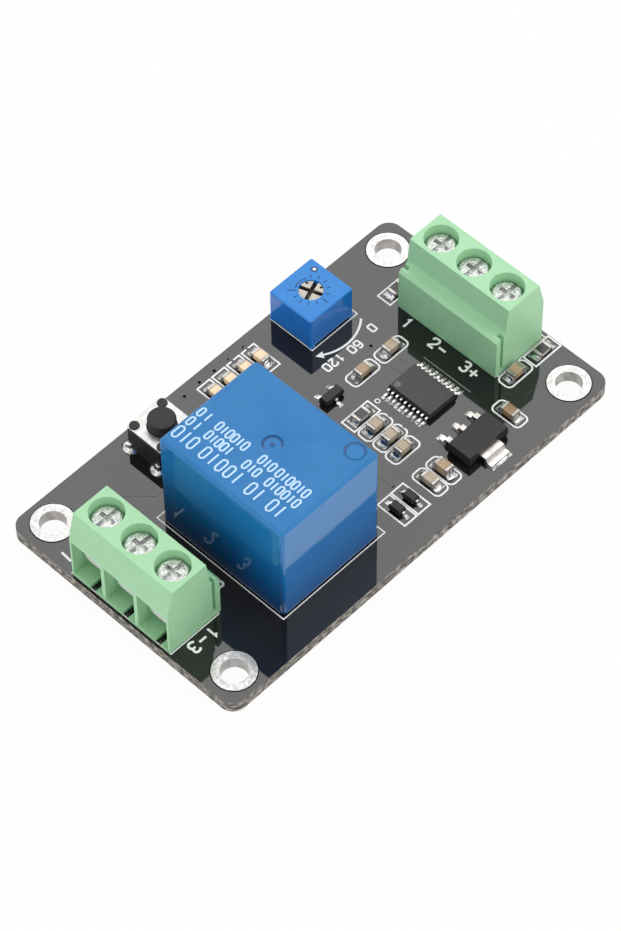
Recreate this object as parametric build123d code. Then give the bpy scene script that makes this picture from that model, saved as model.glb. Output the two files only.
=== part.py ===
"""Relay module board: a drilled circuit board with a sealed relay, two screw terminal blocks,
a trimmer, a push switch and surface-mounted parts.

Frame: origin at the centre of the four mounting holes on the board's underside, +X along the
long side towards the input terminals, +Z up out of the component side. Millimetres."""

import os
from math import cos, hypot, radians, sin

from build123d import *

# Circuit board
BOARD_LENGTH = 61.4
BOARD_WIDTH = 35.1
BOARD_THICKNESS = 1.6
BOARD_CORNER_RADIUS = 1.8
MOUNT_INSET_X = 3.6
MOUNT_INSET_Y = 3.35
MOUNT_HOLE_RADIUS = 1.6
MOUNT_PAD_RADIUS = 2.58
PLATING_WALL = 0.08
PAD_THICKNESS = 0.06
TAIL_LENGTH = 1.8
LEAD_HOLE_CLEARANCE = 0.15
SOLDER_REACH = 0.45
SOLDER_HEIGHT = 1.1
PAD_TOE = 0.4
PAD_HEEL = 0.25
PAD_SIDE = 0.1

# Running and assembly clearances
SLIDE_CLEARANCE = 0.08
THREAD_CLEARANCE = 0.05
FIT_CLEARANCE = 0.05
CONTACT_CLEARANCE = 0.03
SHANK_CLEARANCE = 0.15

# Screw terminal blocks, local frame: +X to the wire side, origin under the middle screw
TERMINAL_POLES = 3
TERMINAL_PITCH = 5.08
TERMINAL_HEIGHT = 10.6
TERMINAL_FRONT = 3.52
TERMINAL_CHAMFER_FOOT = 7.0
TERMINAL_TOP_FRONT = 2.6
TERMINAL_TOP_BACK = -2.5
TERMINAL_LEDGE_HEIGHT = 7.2
TERMINAL_LEDGE_BACK = -2.9
TERMINAL_RIB_HEIGHT = 6.5
TERMINAL_RIB_BACK = -4.33
TERMINAL_RIB_WIDTH = 1.13
TERMINAL_RIB_ROUND = 0.35
TERMINAL_RIB_RISE = 0.1
TERMINAL_POST = 0.53
TERMINAL_FLOOR = 0.45
TERMINAL_MOUTH_TOP = 6.3
TERMINAL_LINTEL = 0.75
TERMINAL_CEILING_GAP = 0.3
TERMINAL_BACK_WALL = -2.3
TERMINAL_FLOOR_SLOT = 0.9
TERMINAL_FLOOR_SLOT_OFFSET = 0.75
TERMINAL_FLOOR_SLOT_BACK = -1.5
TERMINAL_GROOVE_WIDTH = 0.45
TERMINAL_GROOVE_DEPTH = 0.7
TERMINAL_GROOVE_FOOT = 0.9
TERMINAL_GROOVE_INSET = 0.93
WELL_RADIUS = 2.05
WELL_SHOULDER = 0.6
SCREW_HEAD_RADIUS = 1.85
SCREW_HEAD_HEIGHT = 1.15
SCREW_HEAD_EDGE = 0.25
SCREW_HEAD_CROWN = 0.08
SCREW_SHANK_RADIUS = 1.45
SCREW_SLOT_WIDTH = 0.55
SCREW_SLOT_DEPTH = 0.6
SCREW_RECESS_RADIUS = 1.05
CLAMP_WIDTH = 4.1
CLAMP_DEPTH = 4.0
CLAMP_HEIGHT = 4.95
CLAMP_WALL = 0.6
CLAMP_SOLE = 0.9
CLAMP_BOSS = 1.0
CLAMP_BEND_RADIUS = 0.8
CLAMP_TRAVEL = 2.0
CLAMP_REST_RISE = 1.7
TONGUE_WIDTH = 2.5
TONGUE_THICKNESS = 0.7
TONGUE_REACH = 1.9
TERMINAL_TAIL_WIDTH = 1.0
INPUT_BLOCK_INSET = 4.55
INPUT_BLOCK_Y = -0.02
OUTPUT_BLOCK_INSET = 3.87
OUTPUT_BLOCK_Y = 0.05

# Relay, local frame: origin under its middle on the board, hinge end towards -Y
RELAY_AT = (-10.87, -3.84)
RELAY_WIDTH = 15.1
RELAY_LENGTH = 18.7
RELAY_HEIGHT = 15.4
RELAY_WALL = 0.8
RELAY_ROOF = 0.9
RELAY_STANDOFF = 0.3
RELAY_TOP_CHAMFER = 0.4
RELAY_CORNER_RADIUS = 0.5
RELAY_INNER_RADIUS = 0.3
RELAY_FOOT_RADIUS = 0.7
RELAY_FOOT_INSET_X = 1.4
RELAY_FOOT_INSET_Y = 2.8
GATE_MARK_RADIUS = 1.22
GATE_MARK_DEPTH = 0.15
GATE_DOT_RADIUS = 0.3
GATE_DOT_RISE = 0.13
GATE_MARK_AT = (0.5, -0.1)
RING_MARK_RADIUS = 1.2
RING_MARK_WIDTH = 0.12
RING_MARK_DEPTH = 0.1
RING_MARK_AT = (5.95, -7.25)
RELAY_BASE_THICKNESS = 1.2
RELAY_PIN_INSET_X = 1.55
RELAY_PIN_INSET_Y = 2.25
RELAY_COIL_PIN_SETBACK = 2.0
RELAY_HEADROOM = 4.3
BARRIER_HEIGHT = 6.0
BARRIER_THICKNESS = 0.6
BARRIER_GAP = 0.2
BARRIER_INSET = 1.0
RELAY_PIN_THICKNESS = 0.5
RELAY_PIN_WIDTH = 1.1
COIL_PIN_RADIUS = 0.4
COIL_PIN_RISE = 0.9
COIL_PIN_COVER = 0.15
YOKE_THICKNESS = 1.1
YOKE_WIDTH = 9.6
YOKE_WALL_GAP = 0.8
CORE_RADIUS = 2.0
POLE_RADIUS = 3.3
POLE_THICKNESS = 0.8
POLE_CHAMFER = 0.15
BOBBIN_GAP = 0.2
BOBBIN_SIZE = 10.2
BOBBIN_CORNER_RADIUS = 1.6
BOBBIN_FLANGE = 0.8
BOBBIN_TUBE_WALL = 0.5
BOBBIN_LUG_WIDTH = 1.6
WINDING_RADIUS = 4.7
ARMATURE_THICKNESS = 1.1
ARMATURE_WIDTH = 9.0
ARMATURE_OVERHANG = 1.25
ARMATURE_CORNER = 1.2
ARMATURE_BACK_INSET = 0.1
ARMATURE_TILT = 3.0
ARMATURE_GAP = 0.05
PIVOT_INSET = 0.35
LEAF_THICKNESS = 0.2
LEAF_WIDTH = 5.0
LEAF_END_WIDTH = 2.8
LEAF_TAIL_LENGTH = 4.6
LEAF_TAIL_GAP = 0.12
LEAF_TAPER = 1.5
CONTACT_RADIUS = 1.05
CONTACT_STEM_RADIUS = 0.5
LEAF_END_MARGIN = 0.2
CONTACT_THICKNESS = 0.45
CONTACT_EDGE = 0.35
CONTACT_CROWN = 0.12
FIXED_BLADE_THICKNESS = 0.4
FIXED_BLADE_WIDTH = 2.6
FIXED_BLADE_OVERREACH = 1.5
RIVET_RADIUS = 0.55
RIVET_HEAD = 0.25
RIVET_SHANK_RADIUS = 0.385

# Single-turn trimmer, local frame: origin under its middle on the board
TRIMMER_X = 13.75
TRIMMER_INSET = 3.79
TRIMMER_LENGTH = 7.0
TRIMMER_WIDTH = 6.66
TRIMMER_HEIGHT = 4.95
TRIMMER_STANDOFF = 0.3
TRIMMER_FOOT = 0.7
TRIMMER_EDGE_RADIUS = 0.25
TRIMMER_CORNER_RADIUS = 0.3
TRIMMER_ROOF = 0.95
TRIMMER_MOUTH_RADIUS = 1.5
TRIMMER_WALL = 0.33
TRIMMER_CAVITY_STEP = 0.35
TRIMMER_ELEMENT_THICKNESS = 0.7
TRIMMER_ELEMENT_TOP = 1.9
TRIMMER_ROTOR_FLANGE = 0.6
TRIMMER_ROTOR_SINK = 0.15
TRIMMER_SLOT_WIDTH = 0.55
TRIMMER_SLOT_DEPTH = 0.8
TRIMMER_SLOT_TURN = 20.0
TRIMMER_PIN_SPAN_X = 5.08
TRIMMER_PIN_OFFSET_Y = 1.27
TRIMMER_PIN_WIDTH = 0.5
WIPER_THICKNESS = 0.15
WIPER_TRACK_RADIUS = 1.9
WIPER_BORE_RADIUS = 0.8
WIPER_FOOT_RADIUS = 0.3
WIPER_FOOT_SPACING = 1.0

# Push switch, local frame: origin under its middle on the board
SWITCH_X = -10.9
SWITCH_INSET = 4.4
SWITCH_SIZE = 6.0
SWITCH_BODY_HEIGHT = 3.2
SWITCH_PLATE_THICKNESS = 0.3
SWITCH_PLATE_INSET = 0.1
SWITCH_PLATE_CORNER = 0.5
SWITCH_RIVET_RADIUS = 0.6
SWITCH_RIVET_INSET = 0.8
SWITCH_RIVET_RISE = 0.15
SWITCH_PLUNGER_RADIUS = 1.68
SWITCH_PLUNGER_TOP = 4.9
SWITCH_PLUNGER_FLANGE_RADIUS = 2.15
SWITCH_PLUNGER_FLANGE = 0.6
SWITCH_PLUNGER_EDGE = 0.15
SWITCH_NOSE_RADIUS = 0.7
SWITCH_NOSE_TAPER = 0.2
SWITCH_WALL = 0.7
SWITCH_CAVITY_FLOOR = 1.0
SWITCH_CORNER_CUT = 0.5
DOME_RADIUS = 2.1
DOME_CROWN_RADIUS = 0.9
DOME_RISE = 0.7
DOME_THICKNESS = 0.1
SWITCH_LEG_SPREAD = 0.5
SWITCH_LEG_SPAN_Y = 4.5
SWITCH_LEG_ROOT = 0.8
SWITCH_LEG_WIDTH = 0.7
SWITCH_LEG_THICKNESS = 0.3
SWITCH_LEG_EXIT = 0.9

# Gull-wing packages: middle on the board
CONTROLLER_AT = (14.32, -3.24)
CONTROLLER_WIDTH = 4.4
CONTROLLER_LENGTH = 6.5
CONTROLLER_HEIGHT = 1.1
CONTROLLER_LEADS_PER_SIDE = 10
CONTROLLER_LEAD_PITCH = 0.65
CONTROLLER_LEAD_REACH = 1.0
CONTROLLER_LEAD_FOOT = 0.6
CONTROLLER_LEAD_WIDTH = 0.24
CONTROLLER_DIMPLE_RADIUS = 0.4
CONTROLLER_DIMPLE_DEPTH = 0.06
CONTROLLER_DIMPLE_INSET = 0.75
REGULATOR_X = 13.6
REGULATOR_INSET = 5.05
REGULATOR_LENGTH = 6.5
REGULATOR_WIDTH = 3.5
REGULATOR_HEIGHT = 1.7
REGULATOR_LEAD_PITCH = 2.3
REGULATOR_LEAD_WIDTH = 0.7
REGULATOR_TAB_WIDTH = 3.0
REGULATOR_LEAD_REACH = 1.75
REGULATOR_LEAD_FOOT = 0.9
REGULATOR_LEAD_THICKNESS = 0.28
TRANSISTOR_AT = (6.8, 3.8)
TRANSISTOR_LENGTH = 2.9
TRANSISTOR_WIDTH = 1.3
TRANSISTOR_HEIGHT = 1.1
TRANSISTOR_LEAD_PITCH = 1.9
TRANSISTOR_LEAD_WIDTH = 0.4
TRANSISTOR_LEAD_REACH = 0.6
TRANSISTOR_LEAD_FOOT = 0.4
BODY_GAP = 0.1
BODY_DRAFT = 0.12
BODY_PARTING = 0.45
LEAD_ROOT = 0.4
THIN_LEAD = 0.13

# Chips: middle on the board and the axis that their length runs along
CHIP_LENGTH = 2.0
CHIP_WIDTH = 1.25
CHIP_END = 0.4
CAPACITOR_HEIGHT = 0.95
TALL_CAPACITOR_HEIGHT = 1.25
RESISTOR_HEIGHT = 0.5
LED_HEIGHT = 0.8
CHIP_END_PROUD = 0.03
CHIP_PAD_TOE = 0.65
CHIP_PAD_LENGTH = 1.0
CHIP_PAD_SIDE = 0.07
LED_COUNT = 4
LED_PITCH = 2.39
LED_FIRST_X = 5.33
LED_INSET = 3.85
DIODE_LENGTH = 1.7
DIODE_WIDTH = 1.25
DIODE_HEIGHT = 0.95
DIODE_LEAD_REACH = 0.45
DIODE_LEAD_FOOT = 0.25
DIODE_LEAD_WIDTH = 0.35
EDGE_ROW_INSET = 5.27
SUPPLY_ROW_Y = -8.9

# Worked out on the board
TOP = BOARD_THICKNESS
TAIL_END = -TAIL_LENGTH
HALF_LENGTH = BOARD_LENGTH / 2
HALF_WIDTH = BOARD_WIDTH / 2
TRIMMER_AT = (TRIMMER_X, HALF_WIDTH - TRIMMER_INSET)
SWITCH_AT = (SWITCH_X, HALF_WIDTH - SWITCH_INSET)
REGULATOR_AT = (REGULATOR_X, REGULATOR_INSET - HALF_WIDTH)
EDGE_ROW_Y = EDGE_ROW_INSET - HALF_WIDTH
LEDS = [(LED_FIRST_X - i * LED_PITCH, HALF_WIDTH - LED_INSET, "y") for i in range(LED_COUNT)]
CAPACITORS = [
    (16.62, 3.81, "x"),
    (11.92, 3.82, "x"),
    (7.3, -2.6, "x"),
    (7.33, -4.85, "x"),
    (7.1, -7.0, "x"),
    (23.9, SUPPLY_ROW_Y, "x"),
    (5.98, EDGE_ROW_Y, "y"),
    (19.2, EDGE_ROW_Y, "y"),
]
TALL_CAPACITORS = [(8.2, EDGE_ROW_Y, "y")]
RESISTORS = [(7.28, -0.35, "x"), (28.4, SUPPLY_ROW_Y, "x"), (23.4, 9.33, "x")]
DIODES = [(2.8, EDGE_ROW_Y, "y"), (0.6, EDGE_ROW_Y, "y")]

# Worked out in the terminal blocks
POLES = range(TERMINAL_POLES)
CLAMP_LOW = TERMINAL_FLOOR + CONTACT_CLEARANCE
CLAMP_TOP = CLAMP_LOW + CLAMP_HEIGHT
TONGUE_TOP = CLAMP_TOP - CLAMP_BOSS - SLIDE_CLEARANCE
TERMINAL_CEILING = CLAMP_TOP + CLAMP_TRAVEL + TERMINAL_CEILING_GAP
TERMINAL_HEAD_SEAT = TERMINAL_CEILING + WELL_SHOULDER
TERMINAL_PIN_X = TERMINAL_BACK_WALL - TONGUE_THICKNESS / 2

# Worked out in the relay
RELAY_PIN_X = RELAY_WIDTH / 2 - RELAY_PIN_INSET_X
RELAY_CONTACT_Y = RELAY_LENGTH / 2 - RELAY_PIN_INSET_Y
RELAY_COMMON_Y = -RELAY_CONTACT_Y
RELAY_COIL_Y = RELAY_COMMON_Y + RELAY_COIL_PIN_SETBACK
RELAY_FLOOR_TOP = RELAY_STANDOFF + RELAY_BASE_THICKNESS
YOKE_BACK = -RELAY_LENGTH / 2 + RELAY_WALL + YOKE_WALL_GAP
YOKE_TOP = RELAY_HEIGHT - RELAY_ROOF - RELAY_HEADROOM
YOKE_FLOOR_TOP = RELAY_FLOOR_TOP + YOKE_THICKNESS
COIL_AT_Y = YOKE_BACK + YOKE_THICKNESS + BOBBIN_GAP + BOBBIN_SIZE / 2
YOKE_FRONT = COIL_AT_Y + POLE_RADIUS
ARMATURE_FRONT = COIL_AT_Y + POLE_RADIUS + ARMATURE_OVERHANG
PIVOT_Y = YOKE_BACK + PIVOT_INSET
PIVOT_Z = YOKE_TOP + ARMATURE_GAP

# Worked out in the trimmer
TRIMMER_ELEMENT_RADIUS = min(TRIMMER_LENGTH, TRIMMER_WIDTH) / 2 - TRIMMER_WALL - FIT_CLEARANCE
TRIMMER_CAVITY_RADIUS = TRIMMER_ELEMENT_RADIUS + FIT_CLEARANCE - TRIMMER_CAVITY_STEP
TRIMMER_ROOF_UNDER = TRIMMER_HEIGHT - TRIMMER_ROOF
TRIMMER_FLANGE_TOP = TRIMMER_ROOF_UNDER - SLIDE_CLEARANCE
TRIMMER_FLANGE_LOW = TRIMMER_FLANGE_TOP - TRIMMER_ROTOR_FLANGE
TRIMMER_PIN_PLACES = (
    (-TRIMMER_PIN_SPAN_X / 2, TRIMMER_PIN_OFFSET_Y),
    (0, -TRIMMER_PIN_OFFSET_Y),
    (TRIMMER_PIN_SPAN_X / 2, TRIMMER_PIN_OFFSET_Y),
)

# Worked out in the switch
SWITCH_PLATE_TOP = SWITCH_BODY_HEIGHT + SWITCH_PLATE_THICKNESS
SWITCH_CAVITY_RADIUS = SWITCH_SIZE / 2 - SWITCH_WALL
SWITCH_RIVET_OFFSET = SWITCH_SIZE / 2 - SWITCH_RIVET_INSET
SWITCH_LEG_SPAN_X = SWITCH_SIZE + SWITCH_LEG_SPREAD
DOME_CROWN = SWITCH_CAVITY_FLOOR + DOME_RISE + DOME_THICKNESS


def box(x0, x1, y0, y1, z0, z1):
    """A block between two corners."""
    middle = ((x0 + x1) / 2, (y0 + y1) / 2, (z0 + z1) / 2)
    return Pos(*middle) * Box(x1 - x0, y1 - y0, z1 - z0)


def rod(radius, z0, z1, x=0.0, y=0.0):
    """An upright round bar."""
    return Pos(x, y, (z0 + z1) / 2) * Cylinder(radius, z1 - z0)


def plate(length, width, z0, z1, corner):
    """A flat plate with rounded corners, about the Z axis."""
    outline = RectangleRounded(length, width, corner)
    return Pos(0, 0, z0) * extrude(outline, z1 - z0)


def turned(points):
    """A body of revolution about Z from radius and height points."""
    section = Plane.XZ * make_face(Polyline(*points, close=True))
    return revolve(section, Axis.Z)


def solids_of(shapes):
    """A flat group of the solids in some shapes."""
    return Compound(children=[s for shape in shapes for s in shape.solids()])


def write(name, *shapes):
    """Saves one node with its solids in the board's frame."""
    group = solids_of(shapes)
    export_step(group, f"parts/{name}.step")


def along(x, y, axis):
    """Where a chip lies: its own X runs along the named board axis."""
    turn = 90 if axis == "y" else 0
    return Pos(x, y, TOP) * Rot(0, 0, turn)


def both_signs(value):
    return (-value, value)


def mount_points():
    x, y = HALF_LENGTH - MOUNT_INSET_X, HALF_WIDTH - MOUNT_INSET_Y
    return [(px, py) for px in both_signs(x) for py in both_signs(y)]


INPUT_PLACE = Pos(HALF_LENGTH - INPUT_BLOCK_INSET, INPUT_BLOCK_Y, TOP)
OUTPUT_PLACE = Pos(OUTPUT_BLOCK_INSET - HALF_LENGTH, OUTPUT_BLOCK_Y, TOP) * Rot(0, 0, 180)
RELAY_PLACE = Pos(RELAY_AT[0], RELAY_AT[1], TOP)
TRIMMER_PLACE = Pos(TRIMMER_AT[0], TRIMMER_AT[1], TOP)
SWITCH_PLACE = Pos(SWITCH_AT[0], SWITCH_AT[1], TOP)


def pole_y(index):
    """Local Y of one pole's screw axis."""
    return (index - (TERMINAL_POLES - 1) / 2) * TERMINAL_PITCH


def terminal_pin_spots(place):
    """Board positions of a block's solder tails."""
    spots = [place * Pos(TERMINAL_PIN_X, pole_y(i), 0) for i in POLES]
    return [(s.position.X, s.position.Y) for s in spots]


def relay_pin_spots():
    local = [(0, RELAY_COMMON_Y)]
    local += [(x, y) for x in both_signs(RELAY_PIN_X) for y in (RELAY_COIL_Y, RELAY_CONTACT_Y)]
    return [(RELAY_AT[0] + x, RELAY_AT[1] + y) for x, y in local]


def trimmer_pin_spots():
    return [(TRIMMER_AT[0] + x, TRIMMER_AT[1] + y) for x, y in TRIMMER_PIN_PLACES]


def switch_leg_spots():
    return [
        (SWITCH_AT[0] + x, SWITCH_AT[1] + y)
        for x in both_signs(SWITCH_LEG_SPAN_X / 2)
        for y in both_signs(SWITCH_LEG_SPAN_Y / 2)
    ]


def lead_holes():
    """Every plated lead hole as x, y and the largest half width of its lead."""
    half_terminal = hypot(TERMINAL_TAIL_WIDTH, TONGUE_THICKNESS) / 2
    half_relay = hypot(RELAY_PIN_WIDTH, RELAY_PIN_THICKNESS) / 2
    half_trimmer = hypot(TRIMMER_PIN_WIDTH, TRIMMER_PIN_WIDTH) / 2
    half_leg = hypot(SWITCH_LEG_WIDTH, SWITCH_LEG_THICKNESS) / 2
    groups = (
        (terminal_pin_spots(INPUT_PLACE) + terminal_pin_spots(OUTPUT_PLACE), half_terminal),
        (relay_pin_spots(), half_relay),
        (trimmer_pin_spots(), half_trimmer),
        (switch_leg_spots(), half_leg),
    )
    return [(x, y, half + LEAD_HOLE_CLEARANCE) for spots, half in groups for x, y in spots]


def circuit_board():
    board = plate(BOARD_LENGTH, BOARD_WIDTH, 0, BOARD_THICKNESS, BOARD_CORNER_RADIUS)
    for x, y in mount_points():
        board -= rod(MOUNT_HOLE_RADIUS + PLATING_WALL, 0, BOARD_THICKNESS, x, y)
    for x, y, radius in lead_holes():
        board -= rod(radius, 0, BOARD_THICKNESS, x, y)
    return board


def mounting_hole_plating():
    """Tinned eyelets: a thin barrel with an annular pad on each face."""
    wall = MOUNT_HOLE_RADIUS + PLATING_WALL
    section = (
        (MOUNT_HOLE_RADIUS, -PAD_THICKNESS),
        (MOUNT_PAD_RADIUS, -PAD_THICKNESS),
        (MOUNT_PAD_RADIUS, 0),
        (wall, 0),
        (wall, BOARD_THICKNESS),
        (MOUNT_PAD_RADIUS, BOARD_THICKNESS),
        (MOUNT_PAD_RADIUS, BOARD_THICKNESS + PAD_THICKNESS),
        (MOUNT_HOLE_RADIUS, BOARD_THICKNESS + PAD_THICKNESS),
    )
    eyelet = turned(section)
    return [Pos(x, y, 0) * eyelet for x, y in mount_points()]


def through_hole_solder(leads):
    """A cone of solder round each tail under the board."""
    joints = []
    tails = solids_of(leads).solids()
    for x, y, radius in lead_holes():
        foot = radius + SOLDER_REACH
        cone = turned(((0, 0), (foot, 0), (radius, -SOLDER_HEIGHT), (0, -SOLDER_HEIGHT)))
        joint = Pos(x, y, 0) * cone
        for tail in tails:
            if (joint & tail).solids():
                joint -= tail
        joints.append(joint)
    return joints


def chip_pads(items):
    """Two pads under each two-ended chip."""
    outer = CHIP_LENGTH / 2 + CHIP_PAD_TOE
    half = CHIP_WIDTH / 2 + CHIP_PAD_SIDE
    pad = box(outer - CHIP_PAD_LENGTH, outer, -half, half, 0, PAD_THICKNESS)
    pads = []
    for x, y, axis in items:
        place = along(x, y, axis)
        pads += [place * pad, place * Rot(0, 0, 180) * pad]
    return pads


def solder_pads(lead_pads):
    """Tinned pads on the component side under the surface-mounted parts."""
    chips = CAPACITORS + TALL_CAPACITORS + RESISTORS + LEDS
    return chip_pads(chips) + lead_pads


def terminal_profile():
    """Side outline of a block: chamfered wire side, stepped back with a raised rib."""
    points = (
        (TERMINAL_FRONT, 0),
        (TERMINAL_FRONT, TERMINAL_CHAMFER_FOOT),
        (TERMINAL_TOP_FRONT, TERMINAL_HEIGHT),
        (TERMINAL_TOP_BACK, TERMINAL_HEIGHT),
        (TERMINAL_LEDGE_BACK, TERMINAL_LEDGE_HEIGHT),
        (TERMINAL_RIB_BACK + TERMINAL_RIB_WIDTH, TERMINAL_RIB_HEIGHT + TERMINAL_RIB_RISE),
        (TERMINAL_RIB_BACK + TERMINAL_RIB_ROUND, TERMINAL_RIB_HEIGHT),
        (TERMINAL_RIB_BACK, TERMINAL_RIB_HEIGHT - TERMINAL_RIB_ROUND),
        (TERMINAL_RIB_BACK, 0),
    )
    return Plane.XZ * make_face(Polyline(*points, close=True))


def terminal_cell():
    """What is hollow in one pole: wire mouth, clamp shaft, screw well and floor slot."""
    half = (TERMINAL_PITCH - TERMINAL_POST) / 2
    back, low = TERMINAL_BACK_WALL, TERMINAL_FLOOR
    lintel = TERMINAL_FRONT - TERMINAL_LINTEL
    brow = TERMINAL_TOP_FRONT - TERMINAL_LINTEL / 2
    outside = TERMINAL_FRONT + 1
    cell = box(back, outside, -half, half, low, TERMINAL_MOUTH_TOP)
    cell += box(back, lintel, -half, half, low, TERMINAL_CHAMFER_FOOT)
    cell += box(back, brow, -half, half, low, TERMINAL_CEILING)
    cell += rod(WELL_RADIUS, TERMINAL_HEAD_SEAT, TERMINAL_HEIGHT + 1)
    cell += rod(SCREW_SHANK_RADIUS + SHANK_CLEARANCE, TERMINAL_FLOOR, TERMINAL_HEIGHT)
    near = TERMINAL_FLOOR_SLOT_OFFSET - TERMINAL_FLOOR_SLOT / 2
    far = TERMINAL_FLOOR_SLOT_OFFSET + TERMINAL_FLOOR_SLOT / 2
    cell += box(TERMINAL_FLOOR_SLOT_BACK, outside, near, far, -1, TERMINAL_FLOOR)
    return cell


def terminal_pin():
    """One pole's folded contact: tongue in the clamp, riser in the back wall, solder tail."""
    half = TONGUE_WIDTH / 2
    under = TONGUE_TOP - TONGUE_THICKNESS
    back = TERMINAL_BACK_WALL - TONGUE_THICKNESS
    tongue = box(back, TONGUE_REACH, -half, half, under, TONGUE_TOP)
    riser = box(back, TERMINAL_BACK_WALL, -half, half, TERMINAL_FLOOR, TONGUE_TOP)
    tail_half = TERMINAL_TAIL_WIDTH / 2
    tail = box(
        back, TERMINAL_BACK_WALL, -tail_half, tail_half, TAIL_END - TOP, TERMINAL_FLOOR
    )
    return tongue + riser + tail


def terminal_housing():
    """Moulded block: the profile's whole length, less its cells, pins and end grooves."""
    half_length = TERMINAL_POLES * TERMINAL_PITCH / 2
    body = extrude(terminal_profile(), half_length, both=True)
    hollow = terminal_cell() + terminal_pin()
    for i in POLES:
        body -= Pos(0, pole_y(i), 0) * hollow
    x = TERMINAL_RIB_BACK + TERMINAL_GROOVE_INSET
    half = TERMINAL_GROOVE_WIDTH / 2
    inner = half_length - TERMINAL_GROOVE_DEPTH
    groove = box(x - half, x + half, inner, half_length, TERMINAL_GROOVE_FOOT, TERMINAL_HEIGHT)
    return body - groove - mirror(groove, Plane.XZ)


def terminal_screw():
    """Captive clamp screw with a domed, slotted and cross-recessed head."""
    seat = TERMINAL_HEAD_SEAT + CONTACT_CLEARANCE
    top = seat + SCREW_HEAD_HEIGHT
    tip = TONGUE_TOP + CONTACT_CLEARANCE
    screw = turned(
        (
            (0, tip),
            (SCREW_SHANK_RADIUS, tip),
            (SCREW_SHANK_RADIUS, seat),
            (SCREW_HEAD_RADIUS, seat),
            (SCREW_HEAD_RADIUS, top - SCREW_HEAD_CROWN - SCREW_HEAD_EDGE),
            (SCREW_HEAD_RADIUS - SCREW_HEAD_EDGE, top - SCREW_HEAD_CROWN),
            (0, top),
        )
    )
    low = top - SCREW_SLOT_DEPTH
    half = SCREW_SLOT_WIDTH / 2
    slot = box(-SCREW_HEAD_RADIUS, SCREW_HEAD_RADIUS, -half, half, low, top)
    arm = box(-half, half, -SCREW_RECESS_RADIUS, SCREW_RECESS_RADIUS, low, top)
    return screw - slot - arm


def terminal_clamp():
    """Rising clamp folded from strip: a rounded box loop with a threaded boss on top."""
    outer = Plane.YZ * RectangleRounded(CLAMP_WIDTH, CLAMP_HEIGHT, CLAMP_BEND_RADIUS)
    loop = extrude(outer, CLAMP_DEPTH / 2, both=True)
    window_low = CLAMP_SOLE
    window_high = CLAMP_HEIGHT - CLAMP_BOSS
    half = CLAMP_WIDTH / 2 - CLAMP_WALL
    window = box(-CLAMP_DEPTH, CLAMP_DEPTH, -half, half, window_low, window_high)
    clamp = Pos(0, 0, CLAMP_HEIGHT / 2) * loop - window
    clamp -= rod(SCREW_SHANK_RADIUS + THREAD_CLEARANCE, window_high - 1, CLAMP_HEIGHT + 1)
    return Pos(0, 0, CLAMP_LOW + CLAMP_REST_RISE) * clamp


def write_terminal(prefix, place):
    write(f"{prefix}_terminal_housing", place * terminal_housing())
    screw = terminal_screw()
    clamp = terminal_clamp()
    for i in POLES:
        spot = place * Pos(0, pole_y(i), 0)
        write(f"{prefix}_terminal_screw_{i + 1}", spot * screw)
        write(f"{prefix}_terminal_clamp_{i + 1}", spot * clamp)
    pins = [place * Pos(0, pole_y(i), 0) * terminal_pin() for i in POLES]
    write(f"{prefix}_terminal_pins", *pins)
    return pins


def relay_cover():
    """Thin moulded case, open below, with a gate mark and an ejector ring in its roof."""
    top = RELAY_HEIGHT
    case = plate(RELAY_WIDTH, RELAY_LENGTH, RELAY_STANDOFF, top, RELAY_CORNER_RADIUS)
    case = chamfer(case.faces().sort_by(Axis.Z)[-1].edges(), RELAY_TOP_CHAMFER)
    inner = (RELAY_WIDTH - 2 * RELAY_WALL, RELAY_LENGTH - 2 * RELAY_WALL)
    case -= plate(*inner, RELAY_STANDOFF, top - RELAY_ROOF, RELAY_INNER_RADIUS)
    gate_floor = top - GATE_MARK_DEPTH
    case -= rod(GATE_MARK_RADIUS, gate_floor, top, *GATE_MARK_AT)
    case += rod(GATE_DOT_RADIUS, gate_floor, gate_floor + GATE_DOT_RISE, *GATE_MARK_AT)
    ring = rod(RING_MARK_RADIUS, top - RING_MARK_DEPTH, top, *RING_MARK_AT)
    ring -= rod(RING_MARK_RADIUS - RING_MARK_WIDTH, 0, top, *RING_MARK_AT)
    return case - ring


def relay_flat_pin(x, y, across):
    """A flat contact pin through the base; across turns its broad side to Y."""
    half_w, half_t = RELAY_PIN_WIDTH / 2, RELAY_PIN_THICKNESS / 2
    if not across:
        half_w, half_t = half_t, half_w
    return box(x - half_w, x + half_w, y - half_t, y + half_t, TAIL_END - TOP, RELAY_FLOOR_TOP)


def relay_common_pin():
    return relay_flat_pin(0, RELAY_COMMON_Y, across=True)


def relay_coil_pins():
    top = YOKE_FLOOR_TOP + BOBBIN_FLANGE + COIL_PIN_RISE
    low = TAIL_END - TOP
    return [rod(COIL_PIN_RADIUS, low, top, x, RELAY_COIL_Y) for x in both_signs(RELAY_PIN_X)]


def contact_height():
    """Height of the leaf's underside at the contacts when the armature is pulled in."""
    return PIVOT_Z + ARMATURE_THICKNESS


def contact_button(z, up):
    """A domed contact; up is +1 when its face looks up from z."""
    face = z + up * CONTACT_THICKNESS
    shoulder = face - up * CONTACT_CROWN
    flat = CONTACT_RADIUS - CONTACT_EDGE
    points = ((0, z), (CONTACT_RADIUS, z), (CONTACT_RADIUS, shoulder), (flat, face), (0, face))
    return Pos(0, RELAY_CONTACT_Y, 0) * turned(points)


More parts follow.
